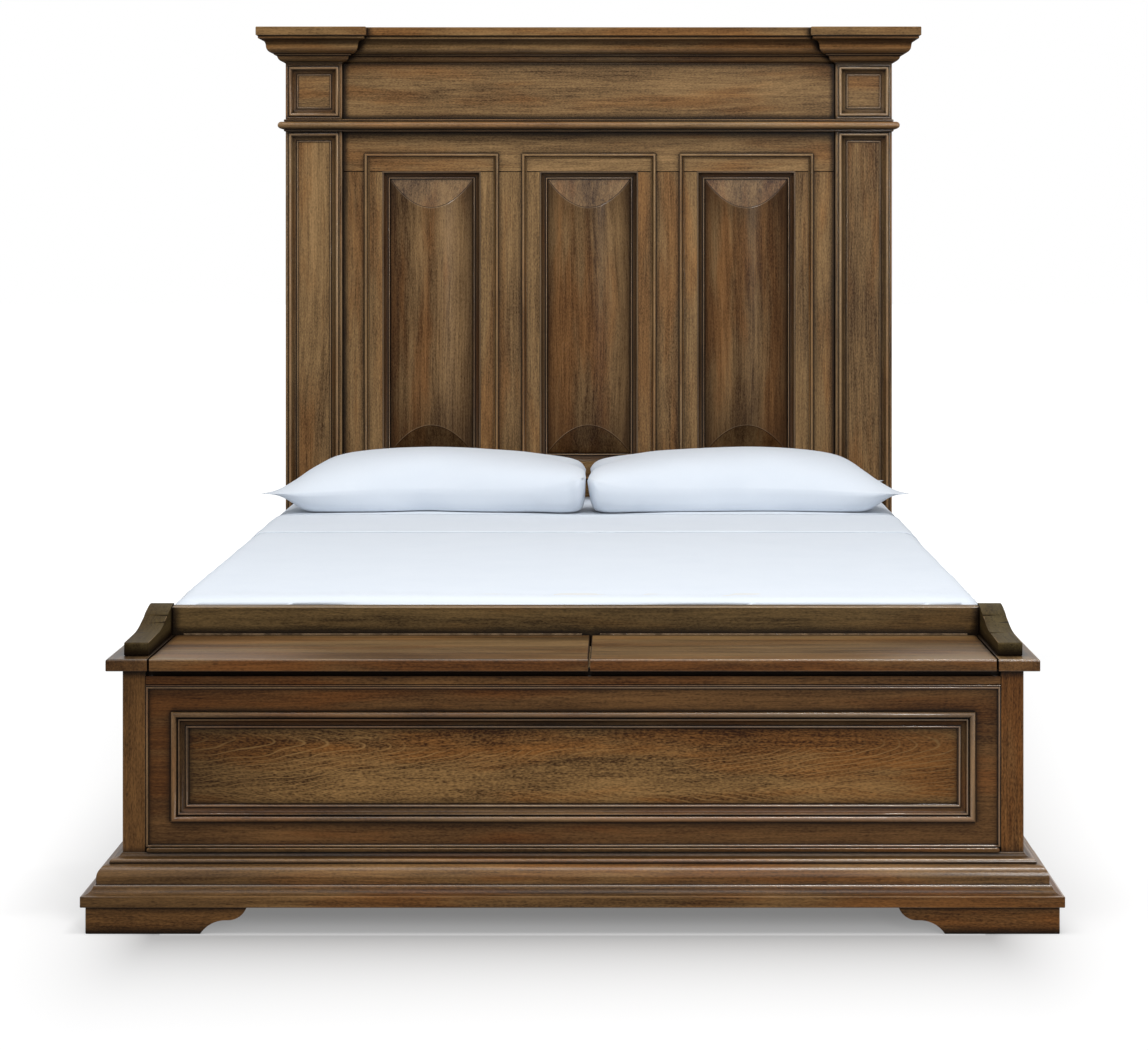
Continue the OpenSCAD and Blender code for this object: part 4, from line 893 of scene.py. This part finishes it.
def fitPillow(piece, low, high, inner):
    # the swollen form takes the room of its solid; its underside lies flat on the sheet
    look = pillowLook
    calm = bmesh.new()
    calm.from_mesh(piece.data)
    crease = calm.edges.layers.float["crease_edge"]
    corner = [max(v.co[k] for v in calm.verts) * look["corner"] for k in range(2)]
    seam = [v for v in calm.verts if abs(v.co.x) < corner[0] or abs(v.co.y) < corner[1]]
    beside = {v: [e.other_vert(v) for e in v.link_edges if e[crease] > look["rimCrease"] / 2]
              for v in seam}
    for _ in range(look["seamSmooth"]):  # takes the puckers out of the seam, not its corners
        calmer = {v: (ends[0].co + ends[1].co + 2 * v.co) / 4
                  for v, ends in beside.items() if len(ends) == 2}
        for v, co in calmer.items():
            v.co = co
    for _ in range(look["smooth"]):
        swollen = [v for v in calm.verts if abs(v.co.z) > look["smoothAbove"]]
        bmesh.ops.smooth_vert(calm, verts=swollen, factor=0.5, use_axis_x=True,
                              use_axis_y=True, use_axis_z=True)
    calm.to_mesh(piece.data)
    calm.free()
    points = [v.co for v in piece.data.vertices]
    span = [(min(p[k] for p in points), max(p[k] for p in points)) for k in range(3)]
    seamZ = low.z + (high.z - low.z) * look["seam"]
    for v in piece.data.vertices:
        share = [0, 0]
        for k in range(2):
            share[k] = (v.co[k] - span[k][0]) / (span[k][1] - span[k][0])
            room = high[k] - low[k] - 2 * look["inset"]
            v.co[k] = low[k] + look["inset"] + share[k] * room
        u = inner * (2 * share[0] - 1)
        w = 2 * share[1] - 1
        behind = smoothStep(w)
        v.co.x -= inner * look["backTaper"] * behind * u * abs(u) * (high.x - low.x) / 2
        base = seamZ - look["backDrop"] * behind * abs(u)
        blunt = smoothStep((u - look["bluntFrom"]) / (1 - look["bluntFrom"]))
        # the inner end swells at its middle until it meets the other pillow
        swell = look["swellEnd"] * (1 - w * w) - look["roundEnd"] * smoothStep(abs(w) * 2 - 1)
        reach = inner * v.co.x + swell * blunt
        v.co.x = inner * min(reach, max(inner * low.x, inner * high.x) - look["inset"])
        if v.co.z > 0:
            slack = look["slack"] * u * smoothStep(abs(u) * look["slackOver"])
            rise = (v.co.z / span[2][1]) ** (look["flatTop"] - slack - look["bluntTop"] * blunt)
            v.co.z = base + rise * (high.z - seamZ)
            hem = math.exp(-((u - look["hemAt"]) / look["hemWidth"]) ** 2)
            v.co.z -= look["hemDip"] * hem * rise
        else:
            full = look["fullBelly"] * (1 + look["bluntBelly"] * blunt)
            sink = min(1.0, v.co.z / span[2][0] * full) ** look["belly"]
            sink *= smoothStep((u + 1) / look["bellyFrom"])
            v.co.z = base - sink * (base - low.z - look["airUnder"])
    piece.data.update()


makeMattress()
makeSheet()
pillowsLow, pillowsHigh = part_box("pillows")
halfGap = 0.0012  # between the pillows
innerHigh = Vector((-halfGap, pillowsHigh.y, pillowsHigh.z))
innerLow = Vector((halfGap, pillowsLow.y, pillowsLow.z))
makePillow("leftPillow", pillowsLow, innerHigh, 1.0, 1)
makePillow("rightPillow", innerLow, pillowsHigh, 6.0, -1)
print("bedding made")

studio = {
    "cameraAt": (0.086, -6.047, 1.2486), "lens": 84.78, "sensor": 36,
    "shift": (-0.0409, -0.2557),
    "ambient": 0.42, "ambientColour": (0.93, 0.96, 1.0),
    "top": {"at": (-0.3, -2.1, 4.8), "aim": (0, 0.5, 0.6), "size": (4.0, 2.4), "power": 140},
    "edge": {"at": (1.1, -2.2, 4.7), "aim": (0.6, -1.3, 0.3), "size": (1.3, 0.34), "power": 50},
    "front": {"at": (1.75, -6.2, 2.3), "aim": (0, 1, 1.1), "size": (0.5, 2.8), "power": 75},
}
# a flat glow that only the camera sees: under the bed's front, beside and before the bench,
# and far away, where the floor turns white; it fades towards the bench, so that the real shadow
# there spreads into a painted shadow
floorLook = {"colour": (0.4, 0.395, 0.39), "rough": 0.9, "size": 40, "front": -1.235,
             "sideSlope": 3.0, "side": -2.2, "fall": 0.02, "near": 0.62, "sideGlow": 0.11,
             "sideSpan": (0.5, 1.9), "far": 1.0, "farSpan": (1.1, 3.0), "under": (0.2, 0.3),
             "underSpan": (-0.15, 0.0), "underEnd": (0.004, 0.028)}


def addLamp(name, look):
    light = bpy.data.lights.new(name, "AREA")
    light.shape = "RECTANGLE"
    light.size, light.size_y = look["size"]
    light.energy = look["power"]
    lamp = bpy.data.objects.new(name, light)
    lamp.location = look["at"]
    lamp.rotation_euler = (Vector(look["aim"]) - Vector(look["at"])).to_track_quat(
        "-Z", "Y").to_euler()
    scene.collection.objects.link(lamp)


for name in ("top", "edge", "front"):
    addLamp(name + "Lamp", studio[name])


def makeWorld():
    # the camera and reflections see white; the light on the bed is dimmer and a little blue
    world = bpy.data.worlds.new("studioWorld")
    scene.world = world
    world.use_nodes = True
    tree = world.node_tree
    tree.nodes.clear()
    path = addNode(tree, "LightPath")
    seen = maths(tree, "MAXIMUM", path.outputs["Is Camera Ray"],
                 maths(tree, "MAXIMUM", path.outputs["Is Glossy Ray"],
                       path.outputs["Is Transmission Ray"]))
    ambient = addNode(tree, "Background", {}, {"Color": (*studio["ambientColour"], 1),
                                              "Strength": studio["ambient"]})
    white = addNode(tree, "Background", {}, {"Color": (1, 1, 1, 1), "Strength": 1.0})
    both = addNode(tree, "MixShader", {}, {0: seen, 1: ambient, 2: white})
    ending = addNode(tree, "OutputWorld")
    tree.links.new(both.outputs[0], ending.inputs["Surface"])


def makeFloor():
    look = floorLook
    mesh = bmesh.new()
    bmesh.ops.create_grid(mesh, x_segments=8, y_segments=8, size=look["size"])
    material, tree, shader = newMaterial("paleFloor")
    floor = newPiece("floor", mesh, material)
    shader.inputs["Base Color"].default_value = (*look["colour"], 1)
    shader.inputs["Roughness"].default_value = look["rough"]
    shader.inputs["Specular IOR Level"].default_value = 0.0
    path = addNode(tree, "LightPath")
    at = addNode(tree, "TexCoord").outputs["Object"]
    reach = addNode(tree, "VectorMath", {"operation": "LENGTH"}, {0: at}).outputs["Value"]
    parts = addNode(tree, "SeparateXYZ", {}, {0: at}).outputs
    ahead = maths(tree, "MULTIPLY_ADD", parts[1], -1.0, look["front"])
    aside = maths(tree, "MULTIPLY_ADD", maths(tree, "ABSOLUTE", parts[0]), look["sideSlope"],
                  look["side"])
    beyond = addNode(tree, "CombineXYZ", {}, {0: maths(tree, "MAXIMUM", aside, 0.0),
                                             1: maths(tree, "MAXIMUM", ahead, 0.0)})
    away = addNode(tree, "VectorMath", {"operation": "LENGTH"}, {0: beyond}).outputs["Value"]
    # the glow falls away towards the bench's front and sides: a painted shadow around it
    glow = maths(tree, "SUBTRACT", 1.0, maths(tree, "POWER", look["fall"], away))
    glow = maths(tree, "MULTIPLY", glow, look["near"])
    glow = maths(tree, "ADD", glow, ranged(tree, aside, *look["sideSpan"], 0.0,
                                           look["sideGlow"]))
    glow = maths(tree, "MAXIMUM", glow, ranged(tree, reach, *look["farSpan"], 0.0,
                                               look["far"]))
    under = ranged(tree, ahead, *look["underSpan"], *look["under"])
    under = maths(tree, "MULTIPLY", under, ranged(tree, ahead, *look["underEnd"], 1.0, 0.0))
    under = maths(tree, "MULTIPLY", under, maths(tree, "LESS_THAN", aside, 0.0))
    glow = maths(tree, "MAXIMUM", glow, under)
    glow = maths(tree, "MULTIPLY", path.outputs["Is Camera Ray"], glow)
    light = addNode(tree, "Emission", {}, {"Color": (1, 1, 1, 1), "Strength": glow})
    total = addNode(tree, "AddShader", {}, {0: shader, 1: light})
    tree.links.new(total.outputs[0], tree.nodes["Material Output"].inputs["Surface"])


makeWorld()
makeFloor()

camera = bpy.data.objects.new("camera", bpy.data.cameras.new("camera"))
camera.location = studio["cameraAt"]
camera.rotation_euler = (math.radians(90), 0, 0)
camera.data.lens = studio["lens"]
camera.data.sensor_width = studio["sensor"]
camera.data.shift_x, camera.data.shift_y = studio["shift"]
scene.collection.objects.link(camera)
scene.camera = camera
scene.view_settings.view_transform = "Standard"
print("studio set")
